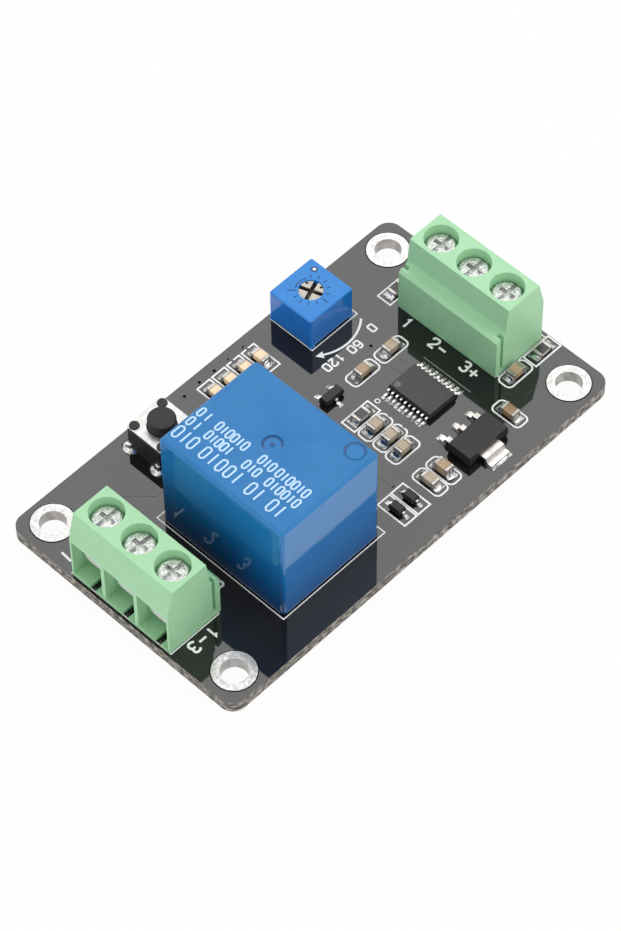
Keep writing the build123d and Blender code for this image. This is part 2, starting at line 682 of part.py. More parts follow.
def fixed_terminal(side, blade_low, contact_up):
    """Pin, riser and blade of a fixed contact; side is -1 or +1 and the blade runs inwards."""
    x = side * RELAY_PIN_X
    half_t, half = RELAY_PIN_THICKNESS / 2, FIXED_BLADE_WIDTH / 2
    low_y, high_y = RELAY_CONTACT_Y - half, RELAY_CONTACT_Y + half
    ends = sorted((x + side * half_t, -side * FIXED_BLADE_OVERREACH))
    blade_top = blade_low + FIXED_BLADE_THICKNESS
    terminal = box(ends[0], ends[1], low_y, high_y, blade_low, blade_top)
    terminal += box(x - half_t, x + half_t, low_y, high_y, RELAY_FLOOR_TOP, blade_top)
    terminal += relay_flat_pin(x, RELAY_CONTACT_Y, across=False)
    face = blade_top if contact_up > 0 else blade_low
    return terminal + contact_button(face, contact_up)


def relay_no_terminal():
    """Normally open contact, under the moving one."""
    face = contact_height() - CONTACT_THICKNESS - CONTACT_CLEARANCE
    return fixed_terminal(-1, face - CONTACT_THICKNESS - FIXED_BLADE_THICKNESS, 1)


def relay_nc_terminal():
    """Normally closed contact, over the moving one, which rests against it."""
    turn = radians(ARMATURE_TILT)
    lever = RELAY_CONTACT_Y - PIVOT_Y + CONTACT_RADIUS
    height = contact_height() + LEAF_THICKNESS + CONTACT_THICKNESS - PIVOT_Z
    face = PIVOT_Z + lever * sin(turn) + height * cos(turn) + CONTACT_CLEARANCE
    return fixed_terminal(1, face + CONTACT_THICKNESS, -1)


def relay_base():
    """Moulded base plate with feet, a barrier wall and a slot for each pin."""
    length = RELAY_LENGTH - 2 * RELAY_WALL - 2 * FIT_CLEARANCE
    width = RELAY_WIDTH - 2 * RELAY_WALL - 2 * FIT_CLEARANCE
    base = plate(width, length, RELAY_STANDOFF, RELAY_FLOOR_TOP, RELAY_INNER_RADIUS)
    for x in both_signs(width / 2 - RELAY_FOOT_INSET_X):
        for y in both_signs(length / 2 - RELAY_FOOT_INSET_Y):
            base += rod(RELAY_FOOT_RADIUS, 0, RELAY_STANDOFF, x, y)
    wall_y = COIL_AT_Y + BOBBIN_SIZE / 2 + BARRIER_GAP
    wall_x = width / 2 - BARRIER_INSET
    wall_top = RELAY_FLOOR_TOP + BARRIER_HEIGHT
    wall_back = wall_y + BARRIER_THICKNESS
    base += box(-wall_x, wall_x, wall_y, wall_back, RELAY_FLOOR_TOP, wall_top)
    pins = [relay_common_pin(), relay_no_terminal(), relay_nc_terminal()] + relay_coil_pins()
    for pin in pins:
        base -= pin
    return base


def relay_bobbin():
    """Moulded bobbin: tube between two square flanges, lugs below for the coil pins."""
    low, high = YOKE_FLOOR_TOP, YOKE_TOP - POLE_THICKNESS
    side = BOBBIN_SIZE
    lower = plate(side, side, low, low + BOBBIN_FLANGE, BOBBIN_CORNER_RADIUS)
    upper = plate(side, side, high - BOBBIN_FLANGE, high, BOBBIN_CORNER_RADIUS)
    bobbin = lower + upper + rod(CORE_RADIUS + BOBBIN_TUBE_WALL, low, high)
    lug_x = RELAY_PIN_X + COIL_PIN_RADIUS + COIL_PIN_COVER
    lug_y = RELAY_COIL_Y - COIL_AT_Y
    bobbin += box(
        -lug_x,
        lug_x,
        lug_y - BOBBIN_LUG_WIDTH / 2,
        lug_y + BOBBIN_LUG_WIDTH / 2,
        low,
        low + BOBBIN_FLANGE,
    )
    bobbin -= rod(CORE_RADIUS, low - 1, high + 1)
    bobbin = Pos(0, COIL_AT_Y, 0) * bobbin
    for pin in relay_coil_pins():
        bobbin -= pin
    return bobbin


def relay_coil_winding():
    low = YOKE_FLOOR_TOP + BOBBIN_FLANGE
    high = YOKE_TOP - POLE_THICKNESS - BOBBIN_FLANGE
    winding = rod(WINDING_RADIUS, low, high) - rod(CORE_RADIUS + BOBBIN_TUBE_WALL, low, high)
    return Pos(0, COIL_AT_Y, 0) * winding


def relay_core():
    """Round iron core, staked into the yoke, with a wide pole face on top."""
    head = YOKE_TOP - POLE_THICKNESS
    points = (
        (0, RELAY_FLOOR_TOP),
        (CORE_RADIUS, RELAY_FLOOR_TOP),
        (CORE_RADIUS, head),
        (POLE_RADIUS, head),
        (POLE_RADIUS, YOKE_TOP - POLE_CHAMFER),
        (POLE_RADIUS - POLE_CHAMFER, YOKE_TOP),
        (0, YOKE_TOP),
    )
    return Pos(0, COIL_AT_Y, 0) * turned(points)


def relay_yoke():
    """Bent steel angle under and behind the coil."""
    half = YOKE_WIDTH / 2
    points = (
        (YOKE_BACK, RELAY_FLOOR_TOP),
        (YOKE_FRONT, RELAY_FLOOR_TOP),
        (YOKE_FRONT, YOKE_FLOOR_TOP),
        (YOKE_BACK + YOKE_THICKNESS, YOKE_FLOOR_TOP),
        (YOKE_BACK + YOKE_THICKNESS, YOKE_TOP),
        (YOKE_BACK, YOKE_TOP),
    )
    section = Plane.YZ * make_face(Polyline(*points, close=True))
    yoke = extrude(section, half, both=True)
    corner = yoke.edges().filter_by(Axis.X).sort_by(lambda e: e.center().Z + e.center().Y)[0]
    yoke = fillet(corner, YOKE_THICKNESS / 2)
    return yoke - rod(CORE_RADIUS, RELAY_FLOOR_TOP, YOKE_FLOOR_TOP, 0, COIL_AT_Y)


def tilted(shape):
    """Turns a pulled-in armature shape up to its rest angle about the yoke's edge."""
    pivot = Pos(0, PIVOT_Y, PIVOT_Z)
    return pivot * Rot(ARMATURE_TILT, 0, 0) * Pos(0, -PIVOT_Y, -PIVOT_Z) * shape


def armature_rivet_spots():
    middle = (PIVOT_Y + ARMATURE_FRONT) / 2
    return [(x, middle) for x in (-LEAF_WIDTH / 4, LEAF_WIDTH / 4)]


def relay_armature():
    """Flat steel armature, hinged on the yoke's edge, with two rivets for the leaf."""
    half = ARMATURE_WIDTH / 2
    top = PIVOT_Z + ARMATURE_THICKNESS
    slab = box(-half, half, YOKE_BACK + ARMATURE_BACK_INSET, ARMATURE_FRONT, PIVOT_Z, top)
    front = slab.edges().filter_by(Axis.Z).group_by(Axis.Y)[-1]
    slab = chamfer(front, ARMATURE_CORNER)
    leaf_top = top + LEAF_THICKNESS
    for x, y in armature_rivet_spots():
        slab += rod(RIVET_SHANK_RADIUS, top, leaf_top, x, y)
        slab += rod(RIVET_RADIUS, leaf_top, leaf_top + RIVET_HEAD, x, y)
    return tilted(slab)


def relay_contact_leaf():
    """Spring leaf on the armature, tapered to the contact, bent down behind the yoke."""
    low = PIVOT_Z + ARMATURE_THICKNESS
    high = low + LEAF_THICKNESS
    back = YOKE_BACK - LEAF_TAIL_GAP - LEAF_THICKNESS / 2
    taper = ARMATURE_FRONT + LEAF_TAPER
    end = RELAY_CONTACT_Y + CONTACT_RADIUS + LEAF_END_MARGIN
    half, half_end = LEAF_WIDTH / 2, LEAF_END_WIDTH / 2
    right = ((half, back), (half, ARMATURE_FRONT), (half_end, taper), (half_end, end))
    left = [(-x, y) for x, y in reversed(right)]
    outline = make_face(Polyline(*right, *left, close=True))
    arm = Pos(0, 0, low) * extrude(outline, LEAF_THICKNESS)
    for x, y in armature_rivet_spots():
        arm -= rod(RIVET_SHANK_RADIUS, low, high, x, y)
    arm -= rod(CONTACT_STEM_RADIUS, low, high, 0, RELAY_CONTACT_Y)
    leaf = tilted(arm)
    outer = YOKE_BACK - LEAF_TAIL_GAP - LEAF_THICKNESS
    bend = leaf.bounding_box().min.Z + LEAF_THICKNESS
    tail = box(-half, half, outer, outer + LEAF_THICKNESS, bend - LEAF_TAIL_LENGTH, bend)
    return leaf + tail


def relay_moving_contact():
    """Double-faced contact rivet through the leaf's end."""
    low = contact_height()
    high = low + LEAF_THICKNESS
    stem = rod(CONTACT_STEM_RADIUS, low, high, 0, RELAY_CONTACT_Y)
    return tilted(contact_button(low, -1) + stem + contact_button(high, 1))


def write_relay():
    write("relay_cover", RELAY_PLACE * relay_cover())
    write("relay_base", RELAY_PLACE * relay_base())
    write("relay_bobbin", RELAY_PLACE * relay_bobbin())
    write("relay_coil_winding", RELAY_PLACE * relay_coil_winding())
    write("relay_core", RELAY_PLACE * relay_core())
    write("relay_yoke", RELAY_PLACE * relay_yoke())
    write("relay_armature", RELAY_PLACE * relay_armature())
    write("relay_contact_leaf", RELAY_PLACE * relay_contact_leaf())
    write("relay_moving_contact", RELAY_PLACE * relay_moving_contact())
    pins = [RELAY_PLACE * relay_common_pin()]
    no_terminal = RELAY_PLACE * relay_no_terminal()
    nc_terminal = RELAY_PLACE * relay_nc_terminal()
    coil = [RELAY_PLACE * pin for pin in relay_coil_pins()]
    write("relay_common_pin", *pins)
    write("relay_no_terminal", no_terminal)
    write("relay_nc_terminal", nc_terminal)
    write("relay_coil_pins", *coil)
    return pins + [no_terminal, nc_terminal] + coil


def trimmer_housing():
    """Moulded case with a round mouth, stepped inside for the rotor and the element."""
    size = (TRIMMER_LENGTH, TRIMMER_WIDTH)
    body = plate(*size, TRIMMER_STANDOFF, TRIMMER_HEIGHT, TRIMMER_CORNER_RADIUS)
    body = fillet(body.faces().sort_by(Axis.Z)[-1].edges(), TRIMMER_EDGE_RADIUS)
    body -= rod(TRIMMER_MOUTH_RADIUS, 0, TRIMMER_HEIGHT)
    body -= rod(TRIMMER_CAVITY_RADIUS, 0, TRIMMER_ROOF_UNDER)
    body -= rod(TRIMMER_ELEMENT_RADIUS + FIT_CLEARANCE, 0, TRIMMER_ELEMENT_TOP)
    half = TRIMMER_FOOT / 2
    for x in both_signs(TRIMMER_LENGTH / 2 - half):
        for y in both_signs(TRIMMER_WIDTH / 2 - half):
            body += box(x - half, x + half, y - half, y + half, 0, TRIMMER_STANDOFF)
    for pin in trimmer_pins():
        body -= pin
    return body


def trimmer_rotor():
    """Rotor with a cross slot, held by a flange under the roof."""
    neck = TRIMMER_MOUTH_RADIUS - FIT_CLEARANCE
    flange = TRIMMER_CAVITY_RADIUS - 2 * FIT_CLEARANCE
    top = TRIMMER_HEIGHT - TRIMMER_ROTOR_SINK
    rotor = turned(
        (
            (0, TRIMMER_FLANGE_LOW),
            (flange, TRIMMER_FLANGE_LOW),
            (flange, TRIMMER_FLANGE_TOP),
            (neck, TRIMMER_FLANGE_TOP),
            (neck, top),
            (0, top),
        )
    )
    depth = top - TRIMMER_SLOT_DEPTH
    half = TRIMMER_SLOT_WIDTH / 2
    rotor -= box(-neck, neck, -half, half, depth, top)
    rotor -= box(-half, half, -neck, neck, depth, top)
    return Rot(0, 0, TRIMMER_SLOT_TURN) * rotor


def trimmer_wiper():
    """Contact ring under the rotor with two sprung feet on the track."""
    high = TRIMMER_FLANGE_LOW
    low = high - WIPER_THICKNESS
    ring = rod(WIPER_TRACK_RADIUS + WIPER_FOOT_RADIUS, low, high)
    ring -= rod(WIPER_BORE_RADIUS, low, high)
    foot = TRIMMER_ELEMENT_TOP + CONTACT_CLEARANCE
    for x in both_signs(WIPER_FOOT_SPACING / 2):
        ring += rod(WIPER_FOOT_RADIUS, foot, low, x, -WIPER_TRACK_RADIUS)
    return Rot(0, 0, TRIMMER_SLOT_TURN) * ring


def trimmer_element():
    """Ceramic disc that carries the resistive track."""
    low = TRIMMER_ELEMENT_TOP - TRIMMER_ELEMENT_THICKNESS
    return rod(TRIMMER_ELEMENT_RADIUS, low, TRIMMER_ELEMENT_TOP)


def trimmer_pins():
    half = TRIMMER_PIN_WIDTH / 2
    top = TRIMMER_ELEMENT_TOP - TRIMMER_ELEMENT_THICKNESS
    low = TAIL_END - TOP
    return [box(x - half, x + half, y - half, y + half, low, top) for x, y in TRIMMER_PIN_PLACES]


def write_trimmer():
    write("trimmer_housing", TRIMMER_PLACE * trimmer_housing())
    write("trimmer_rotor", TRIMMER_PLACE * trimmer_rotor())
    write("trimmer_wiper", TRIMMER_PLACE * trimmer_wiper())
    write("trimmer_element", TRIMMER_PLACE * trimmer_element())
    pins = [TRIMMER_PLACE * pin for pin in trimmer_pins()]
    write("trimmer_pins", *pins)
    return pins


def switch_rivet_spots():
    offsets = both_signs(SWITCH_RIVET_OFFSET)
    return [(x, y) for x in offsets for y in offsets]


def switch_legs():
    """Four legs that leave the sides, turn down and pass through the board."""
    legs = []
    half = SWITCH_LEG_WIDTH / 2
    thick = SWITCH_LEG_THICKNESS
    outer = SWITCH_LEG_SPAN_X / 2 + thick / 2
    inner = SWITCH_SIZE / 2 - SWITCH_LEG_ROOT
    for y in both_signs(SWITCH_LEG_SPAN_Y / 2):
        leg = box(inner, outer, y - half, y + half, SWITCH_LEG_EXIT - thick, SWITCH_LEG_EXIT)
        leg += box(outer - thick, outer, y - half, y + half, TAIL_END - TOP, SWITCH_LEG_EXIT)
        legs += [leg, mirror(leg, Plane.YZ)]
    return legs


def switch_base():
    """Moulded base with a round cavity and four rivet stubs that hold the plate."""
    half = SWITCH_SIZE / 2
    rivet_top = SWITCH_PLATE_TOP + SWITCH_RIVET_RISE
    base = box(-half, half, -half, half, 0, SWITCH_BODY_HEIGHT)
    base = chamfer(base.edges().filter_by(Axis.Z), SWITCH_CORNER_CUT)
    base -= rod(SWITCH_CAVITY_RADIUS, SWITCH_CAVITY_FLOOR, SWITCH_BODY_HEIGHT)
    for x, y in switch_rivet_spots():
        base += rod(SWITCH_RIVET_RADIUS, SWITCH_BODY_HEIGHT, rivet_top, x, y)
    for leg in switch_legs():
        base -= leg
    return base


def switch_plate():
    """Metal cover plate with the plunger hole and four rivet holes."""
    size = SWITCH_SIZE - 2 * SWITCH_PLATE_INSET
    cover = plate(size, size, SWITCH_BODY_HEIGHT, SWITCH_PLATE_TOP, SWITCH_PLATE_CORNER)
    cover -= rod(SWITCH_PLUNGER_RADIUS + SLIDE_CLEARANCE, SWITCH_BODY_HEIGHT, SWITCH_PLATE_TOP)
    for x, y in switch_rivet_spots():
        cover -= rod(SWITCH_RIVET_RADIUS, SWITCH_BODY_HEIGHT, SWITCH_PLATE_TOP, x, y)
    return cover


def switch_plunger():
    """Round button with a retaining flange and a nose over the dome."""
    flange_top = SWITCH_BODY_HEIGHT - CONTACT_CLEARANCE
    flange_low = flange_top - SWITCH_PLUNGER_FLANGE
    nose = DOME_CROWN + CONTACT_CLEARANCE
    return turned(
        (
            (0, nose),
            (SWITCH_NOSE_RADIUS, nose),
            (SWITCH_NOSE_RADIUS + SWITCH_NOSE_TAPER, flange_low),
            (SWITCH_PLUNGER_FLANGE_RADIUS, flange_low),
            (SWITCH_PLUNGER_FLANGE_RADIUS, flange_top),
            (SWITCH_PLUNGER_RADIUS, flange_top),
            (SWITCH_PLUNGER_RADIUS, SWITCH_PLUNGER_TOP - SWITCH_PLUNGER_EDGE),
            (SWITCH_PLUNGER_RADIUS - SWITCH_PLUNGER_EDGE, SWITCH_PLUNGER_TOP),
            (0, SWITCH_PLUNGER_TOP),
        )
    )


def switch_dome():
    """Snap dome: a thin dished disc with a flat crown, on the cavity's floor."""
    floor = SWITCH_CAVITY_FLOOR
    under = floor + DOME_RISE
    return turned(
        (
            (DOME_RADIUS, floor),
            (DOME_CROWN_RADIUS, DOME_CROWN),
            (0, DOME_CROWN),
            (0, under),
            (DOME_CROWN_RADIUS, under),
            (DOME_RADIUS - DOME_THICKNESS, floor),
        )
    )


def write_switch():
    write("switch_base", SWITCH_PLACE * switch_base())
    write("switch_plate", SWITCH_PLACE * switch_plate())
    write("switch_plunger", SWITCH_PLACE * switch_plunger())
    write("switch_dome", SWITCH_PLACE * switch_dome())
    legs = [SWITCH_PLACE * leg for leg in switch_legs()]
    write("switch_legs", *legs)
    return legs


def moulded_body(width, length, height):
    """Moulded package along Y: drafted above and below its parting line."""
    parting = BODY_GAP + (height - BODY_GAP) * BODY_PARTING
    narrow = (width - 2 * BODY_DRAFT, length - 2 * BODY_DRAFT)
    middle = Pos(0, 0, parting) * Rectangle(width, length)
    top = Pos(0, 0, height) * Rectangle(*narrow)
    bottom = Pos(0, 0, BODY_GAP) * Rectangle(*narrow)
    return loft([middle, top]) + loft([bottom, middle])


def gull_lead(body_width, body_height, reach, foot, width, thickness):
    """One gull-wing lead along +X: shoulder out of the body, drop and flat foot."""
    low = PAD_THICKNESS
    exit_height = BODY_GAP + (body_height - BODY_GAP) * BODY_PARTING + thickness / 2
    inner = body_width / 2 - LEAD_ROOT
    end = body_width / 2 + reach
    knee = end - foot
    points = (
        (inner, exit_height),
        (knee, exit_height),
        (knee + thickness, low + thickness),
        (end, low + thickness),
        (end, low),
        (knee, low),
        (knee - thickness, exit_height - thickness),
        (inner, exit_height - thickness),
    )
    section = Plane.XZ * make_face(Polyline(*points, close=True))
    return extrude(section, width / 2, both=True)


def lead_pad(body_width, reach, foot, width):
    """The tinned pad under one gull-wing lead."""
    end = body_width / 2 + reach
    half = width / 2 + PAD_SIDE
    return box(end - foot - PAD_HEEL, end + PAD_TOE, -half, half, 0, PAD_THICKNESS)


def gull_package(size, rows, reach, foot, thickness):
    """Body, leads and pads; each row is its turn about Z, lead count, pitch and lead width."""
    width, length, height = size
    body = moulded_body(width, length, height)
    leads, pads = [], []
    for turn, count, pitch, lead_width in rows:
        lead = gull_lead(width, height, reach, foot, lead_width, thickness)
        pad = lead_pad(width, reach, foot, lead_width)
        for i in range(count):
            spot = Rot(0, 0, turn) * Pos(0, (i - (count - 1) / 2) * pitch, 0)
            leads.append(spot * lead)
            pads.append(spot * pad)
    for lead in leads:
        body -= lead
    return body, leads, pads


def write_controller():
    size = (CONTROLLER_WIDTH, CONTROLLER_LENGTH, CONTROLLER_HEIGHT)
    row = (CONTROLLER_LEADS_PER_SIDE, CONTROLLER_LEAD_PITCH, CONTROLLER_LEAD_WIDTH)
    rows = ((0, *row), (180, *row))
    body, leads, pads = gull_package(
        size, rows, CONTROLLER_LEAD_REACH, CONTROLLER_LEAD_FOOT, THIN_LEAD
    )
    x = CONTROLLER_DIMPLE_INSET - CONTROLLER_WIDTH / 2
    y = CONTROLLER_LENGTH / 2 - CONTROLLER_DIMPLE_INSET
    floor = CONTROLLER_HEIGHT - CONTROLLER_DIMPLE_DEPTH
    body -= rod(CONTROLLER_DIMPLE_RADIUS, floor, CONTROLLER_HEIGHT, x, y)
    place = Pos(*CONTROLLER_AT, TOP)
    write("controller_body", place * body)
    write("controller_leads", *[place * lead for lead in leads])
    return [place * pad for pad in pads]


def write_regulator():
    size = (REGULATOR_WIDTH, REGULATOR_LENGTH, REGULATOR_HEIGHT)
    rows = (
        (0, 3, REGULATOR_LEAD_PITCH, REGULATOR_LEAD_WIDTH),
        (180, 1, REGULATOR_LEAD_PITCH, REGULATOR_TAB_WIDTH),
    )
    body, leads, pads = gull_package(
        size, rows, REGULATOR_LEAD_REACH, REGULATOR_LEAD_FOOT, REGULATOR_LEAD_THICKNESS
    )
    place = Pos(*REGULATOR_AT, TOP) * Rot(0, 0, 90)
    write("regulator_body", place * body)
    write("regulator_leads", *[place * lead for lead in leads])
    return [place * pad for pad in pads]


def write_transistor():
    size = (TRANSISTOR_WIDTH, TRANSISTOR_LENGTH, TRANSISTOR_HEIGHT)
    row = (TRANSISTOR_LEAD_PITCH, TRANSISTOR_LEAD_WIDTH)
    rows = ((0, 2, *row), (180, 1, *row))
    body, leads, pads = gull_package(
        size, rows, TRANSISTOR_LEAD_REACH, TRANSISTOR_LEAD_FOOT, THIN_LEAD
    )
    place = Pos(*TRANSISTOR_AT, TOP) * Rot(0, 0, 90)
    write("transistor_body", place * body)
    write("transistor_leads", *[place * lead for lead in leads])
    return [place * pad for pad in pads]


def write_diodes():
    size = (DIODE_LENGTH, DIODE_WIDTH, DIODE_HEIGHT)
    rows = ((0, 1, 0, DIODE_LEAD_WIDTH), (180, 1, 0, DIODE_LEAD_WIDTH))
    body, leads, pads = gull_package(size, rows, DIODE_LEAD_REACH, DIODE_LEAD_FOOT, THIN_LEAD)
    places = [along(*diode) for diode in DIODES]
    write("diode_bodies", *[place * body for place in places])
    write("diode_leads", *[place * lead for place in places for lead in leads])
    return [place * pad for place in places for pad in pads]


def chip_solids(height):
    """A chip's block and its two end caps, which stand a little proud of it."""
    half, half_width, proud = CHIP_LENGTH / 2, CHIP_WIDTH / 2, CHIP_END_PROUD
    inner = half - CHIP_END
    low = PAD_THICKNESS + proud
    top = low + height
    block = box(-inner, inner, -half_width, half_width, low, top)
    side = half_width + proud
    cap = box(inner, half, -side, side, low - proud, top + proud)
    return block, [cap, Rot(0, 0, 180) * cap]


def write_chips(kind, groups):
    """Writes chips of one kind: bodies in one node, metal ends in another."""
    bodies, ends = [], []
    for items, height in groups:
        block, caps = chip_solids(height)
        for item in items:
            place = along(*item)
            bodies.append(place * block)
            ends += [place * cap for cap in caps]
    write(f"{kind}_bodies", *bodies)
    write(f"{kind}_ends", *ends)


def main():
    os.makedirs("parts", exist_ok=True)
    leads = write_terminal("input", INPUT_PLACE)
    leads += write_terminal("output", OUTPUT_PLACE)
    leads += write_relay()
    leads += write_trimmer()
    leads += write_switch()
    write("circuit_board", circuit_board())
    write("mounting_hole_plating", *mounting_hole_plating())
    write("through_hole_solder", *through_hole_solder(leads))
    pads = write_controller() + write_regulator() + write_transistor() + write_diodes()
    write("solder_pads", *solder_pads(pads))
    capacitors = ((CAPACITORS, CAPACITOR_HEIGHT), (TALL_CAPACITORS, TALL_CAPACITOR_HEIGHT))
    write_chips("capacitor", capacitors)
    write_chips("resistor", ((RESISTORS, RESISTOR_HEIGHT),))
    write_chips("led", ((LEDS, LED_HEIGHT),))


main()
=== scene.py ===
"""Looks of the relay module board: materials, white print, solder, studio and camera.

Everything is in metres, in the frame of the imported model: origin at the centre of the mounting
holes on the board's underside, +X towards the input terminals, +Z out of the component side.
Angles of arcs and ticks are in degrees, counterclockwise from +X."""

from math import cos, pi, radians, sin

import bmesh
import bpy
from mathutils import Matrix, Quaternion, Vector


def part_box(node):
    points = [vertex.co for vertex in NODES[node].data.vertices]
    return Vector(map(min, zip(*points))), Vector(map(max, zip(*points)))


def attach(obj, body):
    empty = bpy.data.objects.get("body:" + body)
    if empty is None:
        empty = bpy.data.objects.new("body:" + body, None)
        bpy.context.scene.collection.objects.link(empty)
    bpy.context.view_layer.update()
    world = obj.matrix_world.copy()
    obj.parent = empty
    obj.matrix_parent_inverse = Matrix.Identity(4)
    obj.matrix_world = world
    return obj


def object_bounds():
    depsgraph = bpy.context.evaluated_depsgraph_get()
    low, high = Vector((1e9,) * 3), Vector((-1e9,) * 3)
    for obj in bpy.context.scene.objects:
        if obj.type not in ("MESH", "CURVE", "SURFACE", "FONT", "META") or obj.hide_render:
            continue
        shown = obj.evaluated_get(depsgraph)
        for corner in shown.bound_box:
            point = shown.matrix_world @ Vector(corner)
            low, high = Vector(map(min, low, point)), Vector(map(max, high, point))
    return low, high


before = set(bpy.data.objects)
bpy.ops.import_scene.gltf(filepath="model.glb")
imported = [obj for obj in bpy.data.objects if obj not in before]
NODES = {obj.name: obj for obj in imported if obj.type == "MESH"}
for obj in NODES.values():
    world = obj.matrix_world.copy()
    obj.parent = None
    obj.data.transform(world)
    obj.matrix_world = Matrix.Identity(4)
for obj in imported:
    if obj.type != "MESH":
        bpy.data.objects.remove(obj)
CAD_BOX = [list(corner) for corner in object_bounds()]
MM = 0.001

# Camera, worked out from the photograph
CAMERA_AZIMUTH = radians(-45.2)
CAMERA_ELEVATION = radians(53.82)
CAMERA_ROLL = radians(-0.87)
CAMERA_DISTANCE = 436.12 * MM
CAMERA_TARGET = Vector((-1.62, -0.99, 1.6)) * MM
CAMERA_LENS = 150.1
CAMERA_SENSOR = 36.0
CAMERA_BACK = Vector((
    sin(CAMERA_AZIMUTH) * cos(CAMERA_ELEVATION),
    -cos(CAMERA_AZIMUTH) * cos(CAMERA_ELEVATION),
    sin(CAMERA_ELEVATION),
))

# Studio
FLOOR_HALF_SIZE = 1.5
FLOOR_GAP = 0.02 * MM
FLOOR_COLOUR = (0.8, 0.8, 0.8, 1.0)
FLOOR_GLOW = 0.96
AMBIENT = 0.86
# Soft lights: place, size and how bright each one looks, where 1 is white
KEY = (Vector((0.30, -0.40, 0.58)), 0.35, 3.2)
FILL = (Vector((-0.52, 0.1, 0.28)), 0.3, 1.0)
# The softbox stands where the board mirrors it towards the camera
MIRROR_WAY = Vector((-CAMERA_BACK.x, -CAMERA_BACK.y, CAMERA_BACK.z))
SOFTBOX = (MIRROR_WAY * 0.8, 0.3, 2.6)

# Noise in materials: the middle part that tones are spread over, and how much finer the gloss varies
NOISE_LOW = 0.3
NOISE_HIGH = 0.7
GLOSS_FINENESS = 3
# Tin: its colour, where its stains change tone, and how its gloss varies
TIN = (0.95, 0.935, 0.91)
STAIN_STOPS = (0.36, 0.47, 0.58)
STAIN_GLOSS = (-0.05, 0.08)
STAIN_GLOSS_FINENESS = 2
# A face looks along an axis where that axis takes more than this share of its direction
FACING_LIMIT = 0.6
# Places of the colour sockets of a Mix node
MIX_COLOURS = (6, 7)
MIX_RESULT = 2
# Board: its rough edge, and how faint the waves in its mask are beside that edge
EDGE_ROUGHNESS = 0.85
EDGE_RELIEF = 90e-6
MASK_WAVE_WEIGHT = 0.02
# Relay: the share of its height over which painted shade darkens it towards its foot, and how strong its
# broad waves are
RELAY_PAINTED_SHADE_SHARE = 0.8
RELAY_WAVE_WEIGHT = 14.0

# White print on the board
INK_HEIGHT = 0.02 * MM
THIN_INK = INK_HEIGHT / 2
THINNEST_INK = INK_HEIGHT / 4
LINE_WIDTH = 0.21 * MM
THIN_LINE = 0.14 * MM
GLYPH_LINE = 0.29 * MM
# Each further stroke of a number is higher by this share, so that no two tops lie in one plane
STACK_SHARE = 0.15
MITRE_LIMIT = 0.5
CORNER_STEPS = 5
CORNER_CUT = 0.25
CUT_ROUNDS = 2
AWAY_FROM_LEDS = Vector((0, -1))
TOWARDS_OUTPUT = Vector((-1, 0))
LABEL_SIZE = (0.85 * MM, 1.35 * MM)
LABEL_PITCH = 1.35 * MM
LABELS = (
    ("1", Vector((20.7, 5.1)) * MM, AWAY_FROM_LEDS),
    ("2-", Vector((20.7, 0.2)) * MM, AWAY_FROM_LEDS),
    ("3+", Vector((20.7, -4.7)) * MM, AWAY_FROM_LEDS),
    ("1", Vector((-20.5, 5.1)) * MM, AWAY_FROM_LEDS),
    ("2", Vector((-20.5, 0.05)) * MM, AWAY_FROM_LEDS),
    ("3", Vector((-20.5, -5.0)) * MM, AWAY_FROM_LEDS),
    ("1-3", Vector((-26.55, -8.9)) * MM, TOWARDS_OUTPUT),
)
SMALL_STROKE = (Vector((-29.2, 10.6)) * MM, Vector((-29.3, 9.0)) * MM)
PIN_MARK = Vector((10.16, -0.17)) * MM
PIN_MARK_RADIUS = 0.28 * MM
PIN_MARK_CORNERS = 16

# Outlines round the parts: nodes of a chip, corner radius, margins at its ends and sides
ROUND_CORNER = 0.62 * MM
CHIP_MARGINS = (1.12 * MM, 0.34 * MM)
DIODE_MARGINS = (0.79 * MM, 0.34 * MM)
CAPACITORS = ("capacitor_bodies", "capacitor_ends")
RESISTORS = ("resistor_bodies", "resistor_ends")
LEDS = ("led_bodies", "led_ends")
DIODES = ("diode_bodies", "diode_leads")
CHIP_KINDS = (CAPACITORS, RESISTORS, LEDS)
OUTLINED_CHIPS = (
    (CAPACITORS, ROUND_CORNER, CHIP_MARGINS),
    (RESISTORS, 0.0, CHIP_MARGINS),
    (LEDS, 0.0, CHIP_MARGINS),
    (DIODES, 0.0, DIODE_MARGINS),
)
# Printed frames: a node and the frame's margins at its low and at its high corner
FRAMED_PARTS = (
    ("relay_cover", Vector((0.18, 0.17)) * MM, Vector((0.79, 0.82)) * MM),
    ("trimmer_housing", Vector((0.0, 0.19)) * MM, Vector((0.48, -0.07)) * MM),
)
CONTROLLER_LINE = (Vector((18.4, 0.3)) * MM, Vector((18.4, -6.98)) * MM)
FINE_LINE = 0.08 * MM
CONTROLLER_MARK = Vector((0.75, -0.75)) * MM
CONTROLLER_MARK_RADIUS = 0.4 * MM
# Frames along the terminal blocks: how far their low and their high side stand from the block's
BLOCK_LINES = {
    "input_terminal_housing": (0.43 * MM, 0.5 * MM),
    "output_terminal_housing": (0.05 * MM, -0.43 * MM),
}
BLOCK_END_MARGIN = 0.15 * MM

# Dial beside the trimmer
DIAL_RADIUS = 5.75 * MM
DIAL_SWEEP = (-49, -122)
DIAL_STEPS = 24
DIAL_SIZE = (0.68 * MM, 1.05 * MM)
DIAL_PITCH = 1.02 * MM
DIAL_LINE = 0.23 * MM
DIAL_NUMBERS = {
    "0": Vector((17.4, 7.55)) * MM,
    "60": Vector((14.03, 7.06)) * MM,
    "120": Vector((10.7, 7.3)) * MM,
}
SWEEP_WIDTH = 0.27 * MM
ARROW_LENGTH = 0.95 * MM
ARROW_HALF = 0.5 * MM

